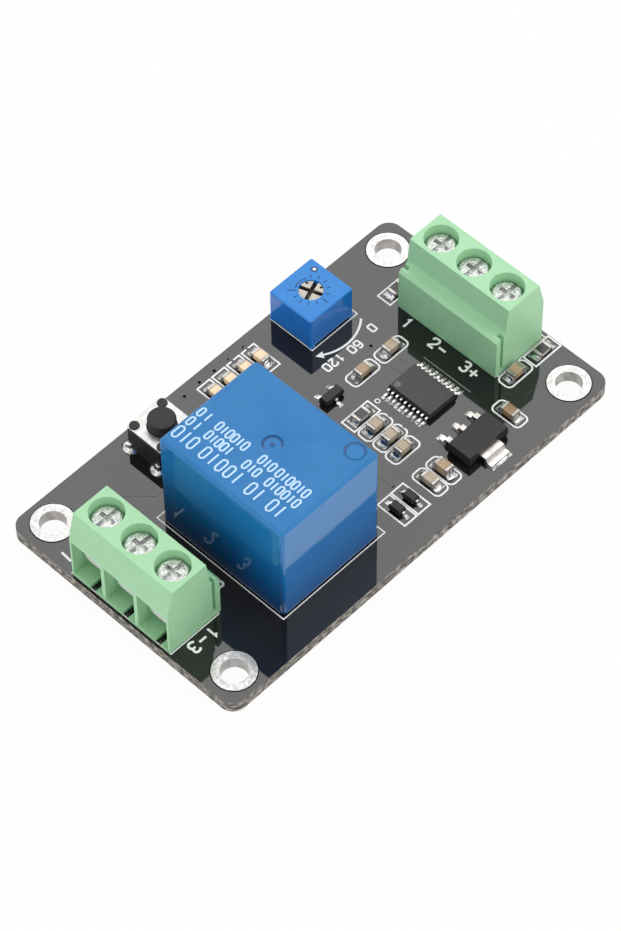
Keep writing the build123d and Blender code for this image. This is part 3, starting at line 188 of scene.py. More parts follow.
# Marks on the trimmer's top
TICK_COUNT = 11
TICK_START = 135
TICK_STEP = 27
TICK_INNER = 1.8 * MM
TICK_OUTER = 2.28 * MM
TICK_WIDTH = 0.13 * MM
LONG_TICKS = {0: 2.77 * MM, 5: 2.65 * MM}
# Painted shade: a dark arc along the edge of the mouth's recess, between these angles
MOUTH_SHADE_ARC = (63, 125)
MOUTH_SHADE_ARC_STEPS = 14
TRIMMER_MARK = Vector((16.2, 15.6)) * MM
TRIMMER_MARK_RADIUS = 0.42 * MM
TRIMMER_SPOT_RADIUS = 0.2 * MM
TRIMMER_SPOT_HEIGHT = 1.5 * INK_HEIGHT
# Rotor: two dark dots of painted shade beside its cross slot, and the slot's painted shade below this
# depth
ROTOR_DOT_RADIUS = 0.16 * MM
ROTOR_DOT_REACH = 1.25 * MM
ROTOR_DOT_TURNS = (67, -24)
ROTOR_SLOT_DEPTH = 0.12 * MM

# Rows of marks on the relay, in mm from its middle: x from and to, pitch of the marks, spans along y
RELAY_ROWS = (
    (-2.35, -1.15, 0.85, ((9.0, 6.9), (6.1, 1.4), (-0.4, -2.7), (-3.0, -7.75))),
    (-4.0, -2.8, 0.85, ((9.0, 6.9), (6.1, 2.2), (0.4, -2.0), (-3.0, -7.9))),
    (-6.2, -4.5, 1.15, ((9.0, 5.6), (4.9, -1.2), (-2.0, -4.4), (-5.2, -7.6))),
)
RELAY_STROKE = 0.22 * MM
RELAY_MARK_SHARE = 0.62
RELAY_STROKE_EVERY = 3

# Shade of the moulding marks on the relay's top: place from its middle, radius and depth
MOULDING_MARKS = (
    (Vector((0.5, -0.1)) * MM, 1.06 * MM, 0.15 * MM),
    (Vector((5.95, -7.25)) * MM, 1.12 * MM, 0.0),
)
MARK_TURNS = (-60, 150)
MARK_STEPS = 20
SOFT_SHADE = 0.42 * MM
DEEP_SHADE = 0.22 * MM
GATE_SPOT = 0.24 * MM
GATE_SPOT_DEPTH = 0.02 * MM

# Rings, vias and tracks
HOLE_X = 27.1 * MM
HOLE_Y = 14.2 * MM
PAD_RADIUS = 2.575 * MM
MASK_GAP = 0.13 * MM
VIA_RADIUS = 0.2 * MM
VIA_RIM = 0.14 * MM
VIAS = tuple(
    Vector(place) * MM
    for place in ((5.13, 16.27), (2.7, 16.29), (0.4, 16.3), (-1.95, 16.34), (-4.54, 16.16), (15.41, 5.83),
                  (2.67, -9.68))
)
TRACE_WIDTH = 0.3 * MM
TRACE_HEIGHT = 0.03 * MM
TRACES = tuple(
    [Vector(point) * MM for point in points]
    for points in (
        ((25.47, -10.15), (23.77, -11.7), (20.77, -11.66)),
        ((16.55, 2.32), (16.6, 0.8)),
        ((15.0, 2.3), (15.0, 0.6)),
        ((5.13, 16.27), (5.33, 15.6)),
        ((2.7, 16.29), (2.94, 15.6)),
        ((-12.5, 8.6), (-16.5, 8.6), (-20.2, 12.3), (-23.4, 12.3)),
        ((9.4, -2.6), (11.1, -2.6)),
        ((9.4, -4.85), (11.1, -4.85)),
        ((2.67, -9.68), (2.67, -7.5), (4.6, -5.6)),
    )
)

# Turned shapes: discs and cones keep a hair-thin hole along their axis
TURN_FACETS = 32
AXIS_GAP = 0.001 * MM

# Solder
CONE_RINGS = 6
CONE_HOLLOW = 2.2
LEG_CONE_FOOT = 1.12 * MM
LEG_CONE_TOP = 0.42 * MM
LEG_CONE_HEIGHT = 0.85 * MM
FILLET_STEPS = 5
FILLET_SKIRT = 0.065 * MM
FILLET_REACH = 0.6 * MM
FILLET_RISE = 0.62
FILLET_HOLLOW = 2.2
FILLET_SIDE_DROP = 0.55
FILLET_SIDE_POWER = 4
FILLET_TAPER = 0.3
FILLET_LUMP = 0.12
LUMP_TURN_PER_METRE = 9000
LUMP_TURN_PER_STEP = 2
FILLET_SEAT = 0.06 * MM
TOE_SEAT = 0.04 * MM
TOE_RISE = 0.16 * MM
TOE_REACH = 0.22 * MM
TOE_SPREAD = 0.85
LEADED_PARTS = {
    "controller_leads": "controller_body",
    "regulator_leads": "regulator_body",
    "transistor_leads": "transistor_body",
    "diode_leads": "diode_bodies",
}

# How near points count as one, how flat faces join, and which edges count as sharp
SAME_POINT = 1e-7
WELD_GAP = 1e-6
FLAT_ANGLE = radians(0.5)
SHARP_ANGLE = radians(35)
EDGE_SEGMENTS = 2
# Radius of the rounding on the edges of moulded and stamped nodes
SOFT_EDGES = {
    "relay_cover": 0.2 * MM,
    "trimmer_housing": 0.18 * MM,
    "input_terminal_housing": 0.14 * MM,
    "output_terminal_housing": 0.14 * MM,
    "switch_base": 0.1 * MM,
    "switch_plate": 0.05 * MM,
    "switch_plunger": 0.14 * MM,
    "regulator_body": 0.08 * MM,
    "controller_body": 0.05 * MM,
    "transistor_body": 0.06 * MM,
    "diode_bodies": 0.07 * MM,
    "capacitor_bodies": 0.07 * MM,
    "capacitor_ends": 0.09 * MM,
    "resistor_bodies": 0.04 * MM,
    "resistor_ends": 0.06 * MM,
    "led_bodies": 0.07 * MM,
    "led_ends": 0.06 * MM,
}

BOARD_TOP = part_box("circuit_board")[1].z
TRIMMER_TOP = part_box("trimmer_housing")[1].z
RELAY_LOW, RELAY_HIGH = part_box("relay_cover")


def middle(corners):
    """The middle of a box, from its lowest and highest corners."""
    return (corners[0] + corners[1]) / 2


def box_round(points):
    """Lowest and highest corners of the box round a list of points."""
    return tuple(Vector(pick(p[i] for p in points) for i in range(3)) for pick in (min, max))


def separate_boxes(node):
    """Lowest and highest corners of each separate solid in a CAD node."""
    bm = bmesh.new()
    bm.from_mesh(NODES[node].data)
    bmesh.ops.remove_doubles(bm, verts=bm.verts, dist=SAME_POINT)
    seen = set()
    boxes = []
    for start in bm.verts:
        if start in seen:
            continue
        seen.add(start)
        waiting = [start]
        found = []
        while waiting:
            vert = waiting.pop()
            found.append(vert.co.copy())
            for edge in vert.link_edges:
                other = edge.other_vert(vert)
                if other not in seen:
                    seen.add(other)
                    waiting.append(other)
        boxes.append(box_round(found))
    bm.free()
    return boxes


def whole_chips(bodies, ends):
    """Lowest and highest corners of each chip together with its metal ends."""
    end_boxes = separate_boxes(ends)
    chips = []
    for body in separate_boxes(bodies):
        near = sorted(end_boxes, key=lambda end: (middle(end) - middle(body)).length)[:2]
        chips.append(box_round([corner for box in (body, *near) for corner in box]))
    return chips


def new_piece(name, bm, material, smooth=False, body="board"):
    """Makes a piece from a finished bmesh and lets it ride on a body."""
    bmesh.ops.recalc_face_normals(bm, faces=bm.faces)
    mesh = bpy.data.meshes.new(name)
    bm.to_mesh(mesh)
    bm.free()
    mesh.materials.append(material)
    if smooth:
        mesh.shade_smooth()
    piece = bpy.data.objects.new(name, mesh)
    bpy.context.scene.collection.objects.link(piece)
    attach(piece, body)


# Materials


class Graph:
    """A material's node tree with short calls for its nodes and links."""

    def __init__(self, name):
        self.material = bpy.data.materials.new(name)
        self.material.use_nodes = True
        self.tree = self.material.node_tree
        self.shader = self.tree.nodes["Principled BSDF"]
        self.coordinates = self.node("ShaderNodeTexCoord")

    def node(self, kind, **settings):
        """Adds a node and sets what is named."""
        made = self.tree.nodes.new(kind)
        for key, value in settings.items():
            setattr(made, key, value)
        return made

    def link(self, source, target):
        self.tree.links.new(source, target)

    def stretched(self, scale):
        """Object coordinates, scaled by a factor for each axis."""
        mapping = self.node("ShaderNodeMapping")
        mapping.inputs["Scale"].default_value = scale
        self.link(self.coordinates.outputs["Object"], mapping.inputs["Vector"])
        return mapping.outputs["Vector"]

    def noise(self, scale, detail=3.0, stretch=None):
        """Noise with features of about 1/scale metres."""
        texture = self.node("ShaderNodeTexNoise")
        texture.inputs["Scale"].default_value = scale
        texture.inputs["Detail"].default_value = detail
        vector = self.stretched(stretch) if stretch else self.coordinates.outputs["Object"]
        self.link(vector, texture.inputs["Vector"])
        return texture.outputs["Fac"]

    def ramp(self, value, *stops):
        """Colours by value: each stop is a position and a colour."""
        made = self.node("ShaderNodeValToRGB")
        elements = made.color_ramp.elements
        while len(elements) < len(stops):
            elements.new(0.5)
        for element, (position, colour) in zip(elements, stops):
            element.position = position
            element.color = (*colour, 1.0)
        self.link(value, made.inputs["Fac"])
        return made.outputs["Color"]

    def tones(self, value, dark, bright):
        """Two colours that run into each other over the middle of a noise."""
        return self.ramp(value, (NOISE_LOW, dark), (NOISE_HIGH, bright))

    def spread(self, value, low, high, start=NOISE_LOW, end=NOISE_HIGH):
        """Maps a value from start to end onto low to high."""
        made = self.node("ShaderNodeMapRange")
        made.inputs["From Min"].default_value = start
        made.inputs["From Max"].default_value = end
        made.inputs["To Min"].default_value = low
        made.inputs["To Max"].default_value = high
        self.link(value, made.inputs["Value"])
        return made.outputs["Result"]

    def math(self, operation, value, other=0.0):
        """Joins two values, each a number or a socket."""
        made = self.node("ShaderNodeMath", operation=operation)
        for socket, source in zip(made.inputs, (value, other)):
            if isinstance(source, (int, float)):
                socket.default_value = source
            else:
                self.link(source, socket)
        return made.outputs["Value"]

    def mix(self, factor, first, second):
        """Colour mix: first where the factor is 0, second where it is 1."""
        made = self.node("ShaderNodeMix", data_type="RGBA")
        self.link(factor, made.inputs["Factor"])
        for place, source in zip(MIX_COLOURS, (first, second)):
            if isinstance(source, tuple):
                made.inputs[place].default_value = (*source, 1.0)
            else:
                self.link(source, made.inputs[place])
        return made.outputs[MIX_RESULT]

    def share(self, kind, axis):
        """One axis of the places (Object) or of the face directions (Normal)."""
        split = self.node("ShaderNodeSeparateXYZ")
        self.link(self.coordinates.outputs[kind], split.inputs["Vector"])
        return split.outputs[axis]

    def facing(self, axis):
        """1 on faces that look either way along an axis, 0 on the others."""
        return self.math("GREATER_THAN", self.math("ABSOLUTE", self.share("Normal", axis)), FACING_LIMIT)

    def height(self):
        """Height above the board's underside, in metres."""
        return self.share("Object", "Z")

    def relief(self, height, depth):
        """Bumps up to depth metres high."""
        bump = self.node("ShaderNodeBump")
        bump.inputs["Distance"].default_value = depth
        self.link(height, bump.inputs["Height"])
        self.link(bump.outputs["Normal"], self.shader.inputs["Normal"])


def tint(colour, factor):
    """A colour made darker or brighter by a factor."""
    return tuple(min(1.0, c * factor) for c in colour)


def surface(name, colour, roughness, metallic=0.0, ior=1.5, mottle=0.06, grain=600.0, wear=0.05,
            relief_grain=2500.0, relief=2e-6):
    """A moulded, plated or printed surface: mottled colour, uneven gloss and fine relief."""
    g = Graph(name)
    tones = g.tones(g.noise(grain), tint(colour, 1 - mottle), tint(colour, 1 + mottle))
    g.link(tones, g.shader.inputs["Base Color"])
    gloss = g.spread(g.noise(grain * GLOSS_FINENESS), roughness - wear, roughness + wear)
    g.link(gloss, g.shader.inputs["Roughness"])
    g.shader.inputs["Metallic"].default_value = metallic
    g.shader.inputs["IOR"].default_value = ior
    g.relief(g.noise(relief_grain), relief)
    return g.material


def board_material():
    """Black mask that mirrors its surroundings, over a rough glass-fibre edge."""
    g = Graph("board_mask_and_edge")
    flat = g.facing("Z")
    mask = g.ramp(g.noise(180), (0.35, (0.007, 0.007, 0.008)), (0.65, (0.010, 0.010, 0.010)))
    layers = g.noise(1.0, detail=8, stretch=(1300, 1300, 2600))
    fibre = g.ramp(
        layers,
        (0.36, (0.08, 0.072, 0.064)),
        (0.5, (0.2, 0.18, 0.155)),
        (0.62, (0.42, 0.4, 0.36)),
    )
    g.link(g.mix(flat, fibre, mask), g.shader.inputs["Base Color"])
    gloss = g.spread(g.noise(400), 0.03, 0.05)
    smoother = g.math("MULTIPLY", flat, g.math("SUBTRACT", EDGE_ROUGHNESS, gloss))
    g.link(g.math("SUBTRACT", EDGE_ROUGHNESS, smoother), g.shader.inputs["Roughness"])
    waves = g.math("MULTIPLY", g.noise(260), MASK_WAVE_WEIGHT)
    ragged = g.math("MULTIPLY", layers, g.math("SUBTRACT", 1.0, flat))
    g.relief(g.math("ADD", waves, ragged), EDGE_RELIEF)
    return g.material


def eyelet_material():
    """Bright tin on the flat rims, darker and drawn upright inside the holes, where shade is painted on
    the bore.
    """
    g = Graph("tinned_eyelets")
    rim = g.tones(g.noise(900), (0.345, 0.34, 0.335), (0.39, 0.385, 0.375))
    # Painted shade inside the bore: its walls reach darker tones than the rims
    wall = g.tones(g.noise(1.0, stretch=(900, 900, 300)), (0.22, 0.21, 0.2), (0.5, 0.48, 0.46))
    g.link(g.mix(g.facing("Z"), wall, rim), g.shader.inputs["Base Color"])
    g.link(g.spread(g.noise(2500), 0.2, 0.34), g.shader.inputs["Roughness"])
    g.shader.inputs["Metallic"].default_value = 1.0
    g.relief(g.noise(1800), 6e-6)
    return g.material


def relay_material():
    """Blue case, glossy with a matt top, with painted shade that darkens it towards its foot and most of
    all at its ends.
    """
    g = Graph("relay_plastic")
    # Painted shade: darker blue near the foot, darkest on the faces at both ends
    painted_shade_tone = g.mix(g.facing("X"), (0.006, 0.11, 0.34), (0.004, 0.042, 0.15))
    painted_shade_top = RELAY_LOW.z + RELAY_PAINTED_SHADE_SHARE * (RELAY_HIGH.z - RELAY_LOW.z)
    rise = g.spread(g.height(), 0.0, 1.0, start=RELAY_LOW.z, end=painted_shade_top)
    cloud = g.tones(g.noise(350), (0.007, 0.165, 0.44), (0.012, 0.18, 0.47))
    g.link(g.mix(rise, painted_shade_tone, cloud), g.shader.inputs["Base Color"])
    g.link(g.spread(g.facing("Z"), 0.06, 0.5, start=0.0, end=1.0), g.shader.inputs["Roughness"])
    broad_waves = g.math("MULTIPLY", g.noise(140, detail=1), RELAY_WAVE_WEIGHT)
    g.relief(g.math("ADD", broad_waves, g.noise(900)), 4e-6)
    return g.material


def trimmer_material():
    """Blue plastic, matt on top and glossy on its sides."""
    g = Graph("trimmer_plastic")
    flat = g.facing("Z")
    side = g.tones(g.noise(500), (0.011, 0.18, 0.6), (0.018, 0.2, 0.66))
    top = g.tones(g.noise(600), (0.018, 0.215, 0.62), (0.026, 0.235, 0.66))
    g.link(g.mix(flat, side, top), g.shader.inputs["Base Color"])
    g.link(g.spread(flat, 0.17, 0.5, start=0.0, end=1.0), g.shader.inputs["Roughness"])
    g.relief(g.noise(700), 8e-6)
    return g.material


def rotor_material():
    """Cream rotor with painted shade in its cross slot, dark below the slot's top."""
    g = Graph("rotor_plastic")
    slot_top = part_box("trimmer_rotor")[1].z - ROTOR_SLOT_DEPTH
    on_top = g.math("GREATER_THAN", g.height(), slot_top)
    cream = g.tones(g.noise(1500), (0.5, 0.46, 0.38), (0.68, 0.64, 0.55))
    # Painted shade: the cross slot and all below its top are dark
    g.link(g.mix(on_top, (0.075, 0.066, 0.055), cream), g.shader.inputs["Base Color"])
    g.shader.inputs["Roughness"].default_value = 0.45
    g.relief(g.noise(4000), 8e-6)
    return g.material


def capacitor_material():
    """Fired ceramic whose shade differs from one chip to the next."""
    g = Graph("chip_ceramic")
    shade = g.ramp(
        g.noise(210, detail=1),
        (0.34, (0.25, 0.135, 0.06)),
        (0.44, (0.41, 0.27, 0.14)),
        (0.56, (0.5, 0.38, 0.245)),
        (0.7, (0.53, 0.45, 0.34)),
    )
    specks = g.noise(7000)
    g.link(g.mix(g.spread(specks, 0.0, 0.25), shade, (0.3, 0.2, 0.12)), g.shader.inputs["Base Color"])
    g.shader.inputs["Roughness"].default_value = 0.42
    g.relief(specks, 6e-6)
    return g.material


def resistor_material():
    """Black glaze on top of a white ceramic chip."""
    g = Graph("resistor_glaze")
    top = g.math("GREATER_THAN", g.share("Normal", "Z"), FACING_LIMIT)
    g.link(g.mix(top, (0.62, 0.6, 0.56), (0.018, 0.018, 0.018)), g.shader.inputs["Base Color"])
    g.shader.inputs["Roughness"].default_value = 0.3
    g.relief(g.noise(5000), 4e-6)
    return g.material


def stained_metal(name, grain, shades, roughness, relief):
    """Tin from stained to bright patches, on solder, pads and leads."""
    g = Graph(name)
    colours = [tint(TIN, shade) for shade in shades]
    stains = g.ramp(g.noise(grain, detail=4), *zip(STAIN_STOPS, colours))
    g.link(stains, g.shader.inputs["Base Color"])
    least, most = (roughness + change for change in STAIN_GLOSS)
    gloss = g.spread(g.noise(grain * STAIN_GLOSS_FINENESS), least, most)
    g.link(gloss, g.shader.inputs["Roughness"])
    g.shader.inputs["Metallic"].default_value = 1.0
    g.relief(g.noise(1500), relief)
    return g.material


def winding_material():
    """Enamelled copper wire in layers of turns."""
    g = Graph("enamelled_wire")
    waves = g.node("ShaderNodeTexWave", bands_direction="Z")
    waves.inputs["Scale"].default_value = 1100
    waves.inputs["Distortion"].default_value = 1.2
    g.link(g.coordinates.outputs["Object"], waves.inputs["Vector"])
    copper = g.ramp(waves.outputs["Fac"], (0.2, (0.16, 0.035, 0.012)), (0.8, (0.62, 0.2, 0.07)))
    g.link(copper, g.shader.inputs["Base Color"])
    g.shader.inputs["Metallic"].default_value = 0.8
    g.shader.inputs["Roughness"].default_value = 0.35
    g.relief(waves.outputs["Fac"], 60e-6)
    return g.material


def make_materials():
    """All materials by short names."""
    metal = dict(metallic=1.0, relief_grain=1500.0)
    return {
        "board": board_material(),
        "pad": stained_metal("tinned_pad", 1700.0, (0.04, 0.2, 0.45), 0.36, 12e-6),
        "solder": stained_metal("solder", 1300.0, (0.1, 0.52, 0.8), 0.16, 70e-6),
        "lead": stained_metal("tinned_lead", 1500.0, (0.33, 0.52, 0.8), 0.3, 8e-6),
        "chip_end": surface("plated_chip_end", (0.42, 0.4, 0.375), 0.42, mottle=0.3, grain=1700.0,
                            relief=8e-6, **metal),
        "tab": surface("tinned_tab", (0.62, 0.58, 0.56), 0.42, mottle=0.2, relief=8e-6, **metal),
        "relay": relay_material(),
        "eyelet": eyelet_material(),
        "relay_base": surface("relay_base_plastic", (0.02, 0.13, 0.33), 0.4),
        "bobbin": surface("bobbin_plastic", (0.55, 0.52, 0.45), 0.45),
        "winding": winding_material(),
        "iron": surface("nickelled_iron", (0.55, 0.54, 0.52), 0.32, metallic=1.0, relief=6e-6),
        "bronze": surface("spring_bronze", (0.72, 0.45, 0.22), 0.3, metallic=1.0),
        "silver": surface("contact_silver", (0.9, 0.89, 0.87), 0.25, metallic=1.0),
        "green": surface("terminal_plastic", (0.36, 0.67, 0.385), 0.38, mottle=0.025, grain=350.0,
                         relief=5e-6),
        "screw": surface("zinc_plated_screw", (0.65, 0.65, 0.64), 0.3, mottle=0.2, grain=1800.0,
                         metallic=1.0, relief_grain=3400.0, relief=170e-6),
        "zinc": surface("zinc_plated_steel", (0.86, 0.86, 0.85), 0.5, metallic=0.85, relief=10e-6),
        "trimmer": trimmer_material(),
        "rotor": rotor_material(),
        "ceramic": surface("white_ceramic", (0.8, 0.79, 0.75), 0.5),
        "black": surface("black_plastic", (0.012, 0.012, 0.012), 0.55, mottle=0.15, relief=10e-6),
        "plate": surface("bright_steel", (0.515, 0.505, 0.495), 0.4, mottle=0.04, metallic=1.0,
                         relief=3e-6),
        "package": surface("moulded_epoxy", (0.026, 0.026, 0.026), 0.42, mottle=0.15, grain=2500.0,
                           relief_grain=6000.0, relief=8e-6),
        "small_package": surface("dark_epoxy", (0.008, 0.008, 0.008), 0.5, mottle=0.15, grain=2500.0,
                                 relief_grain=6000.0, relief=8e-6),
        "mark": surface("moulded_pin_mark", (0.14, 0.14, 0.14), 0.5, relief=4e-6),
        "capacitor": capacitor_material(),
        "resistor": resistor_material(),
        "led": surface("led_resin", (0.88, 0.68, 0.44), 0.3, mottle=0.08, grain=900.0),
        "ink": surface("white_ink", (0.94, 0.94, 0.93), 0.5, mottle=0.04, grain=3000.0),
        "faint_ink": surface("faint_ink", (0.3, 0.3, 0.29), 0.5, mottle=0.1, grain=3000.0),
        "pale_ink": surface("pale_blue_ink", (0.5, 0.72, 0.94), 0.45, mottle=0.06, grain=2500.0),
        # Dark blue ink of the trimmer's ticks and pin mark, also used for painted shade along its mouth
        "dark_ink_and_shade": surface("dark_blue_ink_and_shade", (0.012, 0.055, 0.17), 0.5, mottle=0.1),
        # Painted shade on the walls of the relay's moulding marks
        "soft_shade": surface("shaded_blue", (0.008, 0.125, 0.35), 0.5),
        "deep_shade": surface("deep_blue", (0.005, 0.07, 0.21), 0.5),
        # Near-black: painted shade in the via holes and at the rotor, and the dark gap of the mask round
        # the mounting pads
        "dark": surface("dark_hole", (0.004, 0.004, 0.004), 0.6, ior=1.05),
    }


NODE_MATERIALS = {
    "circuit_board": "board",
    "mounting_hole_plating": "eyelet",
    "through_hole_solder": "solder",
    "solder_pads": "pad",
    "relay_cover": "relay",
    "relay_base": "relay_base",
    "relay_bobbin": "bobbin",
    "relay_coil_winding": "winding",
    "relay_core": "iron",
    "relay_yoke": "iron",
    "relay_armature": "iron",
    "relay_contact_leaf": "bronze",
    "relay_moving_contact": "silver",
    "relay_common_pin": "lead",
    "relay_no_terminal": "lead",
    "relay_nc_terminal": "lead",
    "relay_coil_pins": "lead",
    "trimmer_housing": "trimmer",
    "trimmer_rotor": "rotor",
    "trimmer_wiper": "bronze",
    "trimmer_element": "ceramic",
    "trimmer_pins": "lead",
    "switch_base": "black",
    "switch_plate": "plate",
    "switch_plunger": "black",
    "switch_dome": "plate",
    "switch_legs": "lead",
    "controller_body": "package",
    "controller_leads": "lead",
    "regulator_body": "small_package",
    "regulator_leads": "tab",
    "transistor_body": "small_package",
    "transistor_leads": "lead",
    "diode_bodies": "small_package",
    "diode_leads": "lead",
    "capacitor_bodies": "capacitor",
    "capacitor_ends": "chip_end",
    "resistor_bodies": "resistor",
    "resistor_ends": "chip_end",
    "led_bodies": "led",
    "led_ends": "chip_end",
}


def block_materials():
    """Materials of the nodes of both terminal blocks."""
    found = {}
    for side in ("input", "output"):
        found[f"{side}_terminal_housing"] = "green"
        found[f"{side}_terminal_pins"] = "lead"
        for number in (1, 2, 3):
            found[f"{side}_terminal_screw_{number}"] = "screw"
            found[f"{side}_terminal_clamp_{number}"] = "zinc"
    return found


def dress_nodes(materials):
    """Gives every CAD node its material through its object's own slot."""
    kinds = {**NODE_MATERIALS, **block_materials()}
    for name, node in NODES.items():
        node.material_slots[0].link = "OBJECT"
        node.material_slots[0].material = materials[kinds[name]]


def soften(node, width):
    """Rounds a CAD node's sharp edges for the render; its own mesh stays as it is."""
    weld = NODES[node].modifiers.new("join_corners", "WELD")
    weld.merge_threshold = WELD_GAP
    flat = NODES[node].modifiers.new("join_flats", "DECIMATE")
    flat.decimate_type = "DISSOLVE"
    flat.angle_limit = FLAT_ANGLE
    bevel = NODES[node].modifiers.new("round_edges", "BEVEL")
    bevel.width = width
    bevel.segments = EDGE_SEGMENTS
    bevel.limit_method = "ANGLE"
    bevel.angle_limit = SHARP_ANGLE
    bevel.harden_normals = True


# White print


def stroke(bm, points, width, low, closed=False, height=INK_HEIGHT):
    """A raised line along points in a plane parallel to the board."""
    count = len(points)
    sections = []
    for i, point in enumerate(points):
        ahead = points[(i + 1) % count] - point if closed or i < count - 1 else None
        behind = point - points[i - 1] if closed or i > 0 else ahead
        ahead = behind if ahead is None else ahead
        sides = [Vector((-way.y, way.x)).normalized() for way in (behind, ahead)]
        mitre = (sides[0] + sides[1]).normalized()
        reach = mitre * (width / 2 / max(mitre.dot(sides[1]), MITRE_LIMIT))
        left, right = point + reach, point - reach
        corners = ((left, low), (left, low + height), (right, low + height), (right, low))
        sections.append([bm.verts.new((*corner, z)) for corner, z in corners])
    for i in range(count if closed else count - 1):
        one, other = sections[i], sections[(i + 1) % count]
        for j in range(4):
            bm.faces.new((one[j], one[(j + 1) % 4], other[(j + 1) % 4], other[j]))
    if not closed:
        bm.faces.new(sections[0])
        bm.faces.new(sections[-1])


def arc(centre, radius, start, end, steps):
    """Points of an arc between two angles in degrees."""
    turns = [radians(start + (end - start) * i / steps) for i in range(steps + 1)]
    return [centre + radius * Vector((cos(t), sin(t))) for t in turns]


def rectangle(low, high, corner=0.0):
    """Outline of a rectangle, with round corners where a radius is given."""
    points = []
    corners = ((high.x, high.y, 0), (low.x, high.y, 90), (low.x, low.y, 180), (high.x, low.y, 270))
    for x, y, start in corners:
        if corner:
            inner = Vector((min(max(x, low.x + corner), high.x - corner),
                            min(max(y, low.y + corner), high.y - corner)))
            points += arc(inner, corner, start, start + 90, CORNER_STEPS)
        else:
            points.append(Vector((x, y)))
    return points


def rounded(points, closed):
    """Cuts the corners of a path again and again, so that it reads as a curve."""
    for _ in range(CUT_ROUNDS):
        count = len(points) if closed else len(points) - 1
        cut = []
        for i in range(count):
            one, other = points[i], points[(i + 1) % len(points)]
            cut += [one.lerp(other, CORNER_CUT), one.lerp(other, 1 - CORNER_CUT)]
        points = cut if closed else [points[0], *cut, points[-1]]
    return points


def curve(*points, closed=False):
    """A curved stroke of a number: its points and whether it closes."""
    return rounded([Vector(p) for p in points], closed), closed


def line(*points):
    """A straight or bent stroke of a number or sign, in the same form."""
    return [Vector(p) for p in points], False


# Strokes of plain numbers and signs, in a box of one by one
GLYPHS = {
    "0": [curve((0.5, 1), (1, 1), (1, 0.5), (1, 0), (0.5, 0), (0, 0), (0, 0.5), (0, 1), closed=True)],
    "1": [line((0.2, 0.78), (0.55, 1), (0.55, 0))],
    "2": [
        curve((0, 0.74), (0.02, 1.02), (0.98, 1.06), (1, 0.62), (0.62, 0.38), (0, 0)),
        line((0, 0), (1, 0)),
    ],
    "3": [
        curve((0, 0.86), (0.2, 1.03), (0.95, 1.03), (0.95, 0.54), (0.4, 0.54)),
        curve((0.4, 0.54), (1.03, 0.54), (1.03, -0.03), (0.2, -0.03), (0, 0.14)),
    ],
    "6": [
        curve((0.9, 0.9), (0.55, 1.08), (0, 0.95), (0, 0.5), (0, 0.3)),
        curve((0.5, 0.6), (1, 0.6), (1, 0), (0.5, 0), (0, 0), (0, 0.6), closed=True),
    ],
    "+": [line((-0.15, 0.45), (1.15, 0.45)), line((0.5, 0.02), (0.5, 0.88))],
    "-": [line((-0.1, 0.45), (1.1, 0.45))],
}


def write_label(bm, text, centre, reading, size, pitch, width_of_line=GLYPH_LINE):
    """Writes plain numbers or signs along a direction, about their middle."""
    up = Vector((-reading.y, reading.x))
    width, height = size
    for i, sign in enumerate(text):
        spot = centre + reading * pitch * (i - (len(text) - 1) / 2)
        for order, (points, closed) in enumerate(GLYPHS[sign]):
            placed = [spot + reading * (p.x - 0.5) * width + up * (p.y - 0.5) * height for p in points]
            stroke(bm, placed, width_of_line, BOARD_TOP, closed, INK_HEIGHT * (1 + STACK_SHARE * order))


def print_chip_outlines(ink):
    """Outlines of the small chips and of the diodes."""
    bm = bmesh.new()
    for kind, corner, margins in OUTLINED_CHIPS:
        for low, high in whole_chips(*kind):
            end, side = margins
            margin = Vector((end, side) if high.x - low.x > high.y - low.y else (side, end))
            outline = rectangle(low.xy - margin, high.xy + margin, corner)
            stroke(bm, outline, LINE_WIDTH, BOARD_TOP, closed=True)
    new_piece("chip_outlines", bm, ink)


def print_part_outlines(ink):
    """Frames of the relay and the trimmer, and those along the terminal blocks."""
    bm = bmesh.new()
    for node, low_margin, high_margin in FRAMED_PARTS:
        low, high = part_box(node)
        outline = rectangle(low.xy - low_margin, high.xy + high_margin)
        stroke(bm, outline, THIN_LINE, BOARD_TOP, closed=True)
    for node, (low_side, high_side) in BLOCK_LINES.items():
        low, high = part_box(node)
        x_low, x_high = low.x + low_side, high.x + high_side
        y_low, y_high = low.y - BLOCK_END_MARGIN, high.y + BLOCK_END_MARGIN
        outline = rectangle(Vector((x_low, y_low)), Vector((x_high, y_high)))
        stroke(bm, outline, THIN_LINE, BOARD_TOP, closed=True)
    new_piece("part_outlines", bm, ink)


def print_controller_line(ink):
    """The fine line behind the controller's back row of leads."""
    bm = bmesh.new()
    stroke(bm, list(CONTROLLER_LINE), FINE_LINE, BOARD_TOP)
    new_piece("controller_line", bm, ink)


def mark_controller(grey):
    """The pin mark in the corner of the controller's top."""
    bm = bmesh.new()
    low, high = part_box("controller_body")
    disc(bm, Vector((low.x, high.y)) + CONTROLLER_MARK, CONTROLLER_MARK_RADIUS, high.z, THIN_INK)
    new_piece("controller_mark", bm, grey)


def print_dial(ink):
    """The sweep arrow round the trimmer and the plain numbers beside it."""
    bm = bmesh.new()
    centre = middle(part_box("trimmer_rotor")).xy
    sweep = arc(centre, DIAL_RADIUS, *DIAL_SWEEP, DIAL_STEPS)
    stroke(bm, sweep, SWEEP_WIDTH, BOARD_TOP)
    end = sweep[-1]
    along = (end - sweep[-2]).normalized()
    side = Vector((-along.y, along.x))
    corners = (end + side * ARROW_HALF, end + along * ARROW_LENGTH, end - side * ARROW_HALF)
    low = [bm.verts.new((*corner, BOARD_TOP)) for corner in corners]
    high = [bm.verts.new(v.co + Vector((0, 0, INK_HEIGHT))) for v in low]
    bm.faces.new(low)
    bm.faces.new(high)
    for i in range(3):
        bm.faces.new((low[i], low[(i + 1) % 3], high[(i + 1) % 3], high[i]))
    for text, place in DIAL_NUMBERS.items():
        write_label(bm, text, place, TOWARDS_OUTPUT, DIAL_SIZE, DIAL_PITCH, DIAL_LINE)
    new_piece("dial_print", bm, ink)


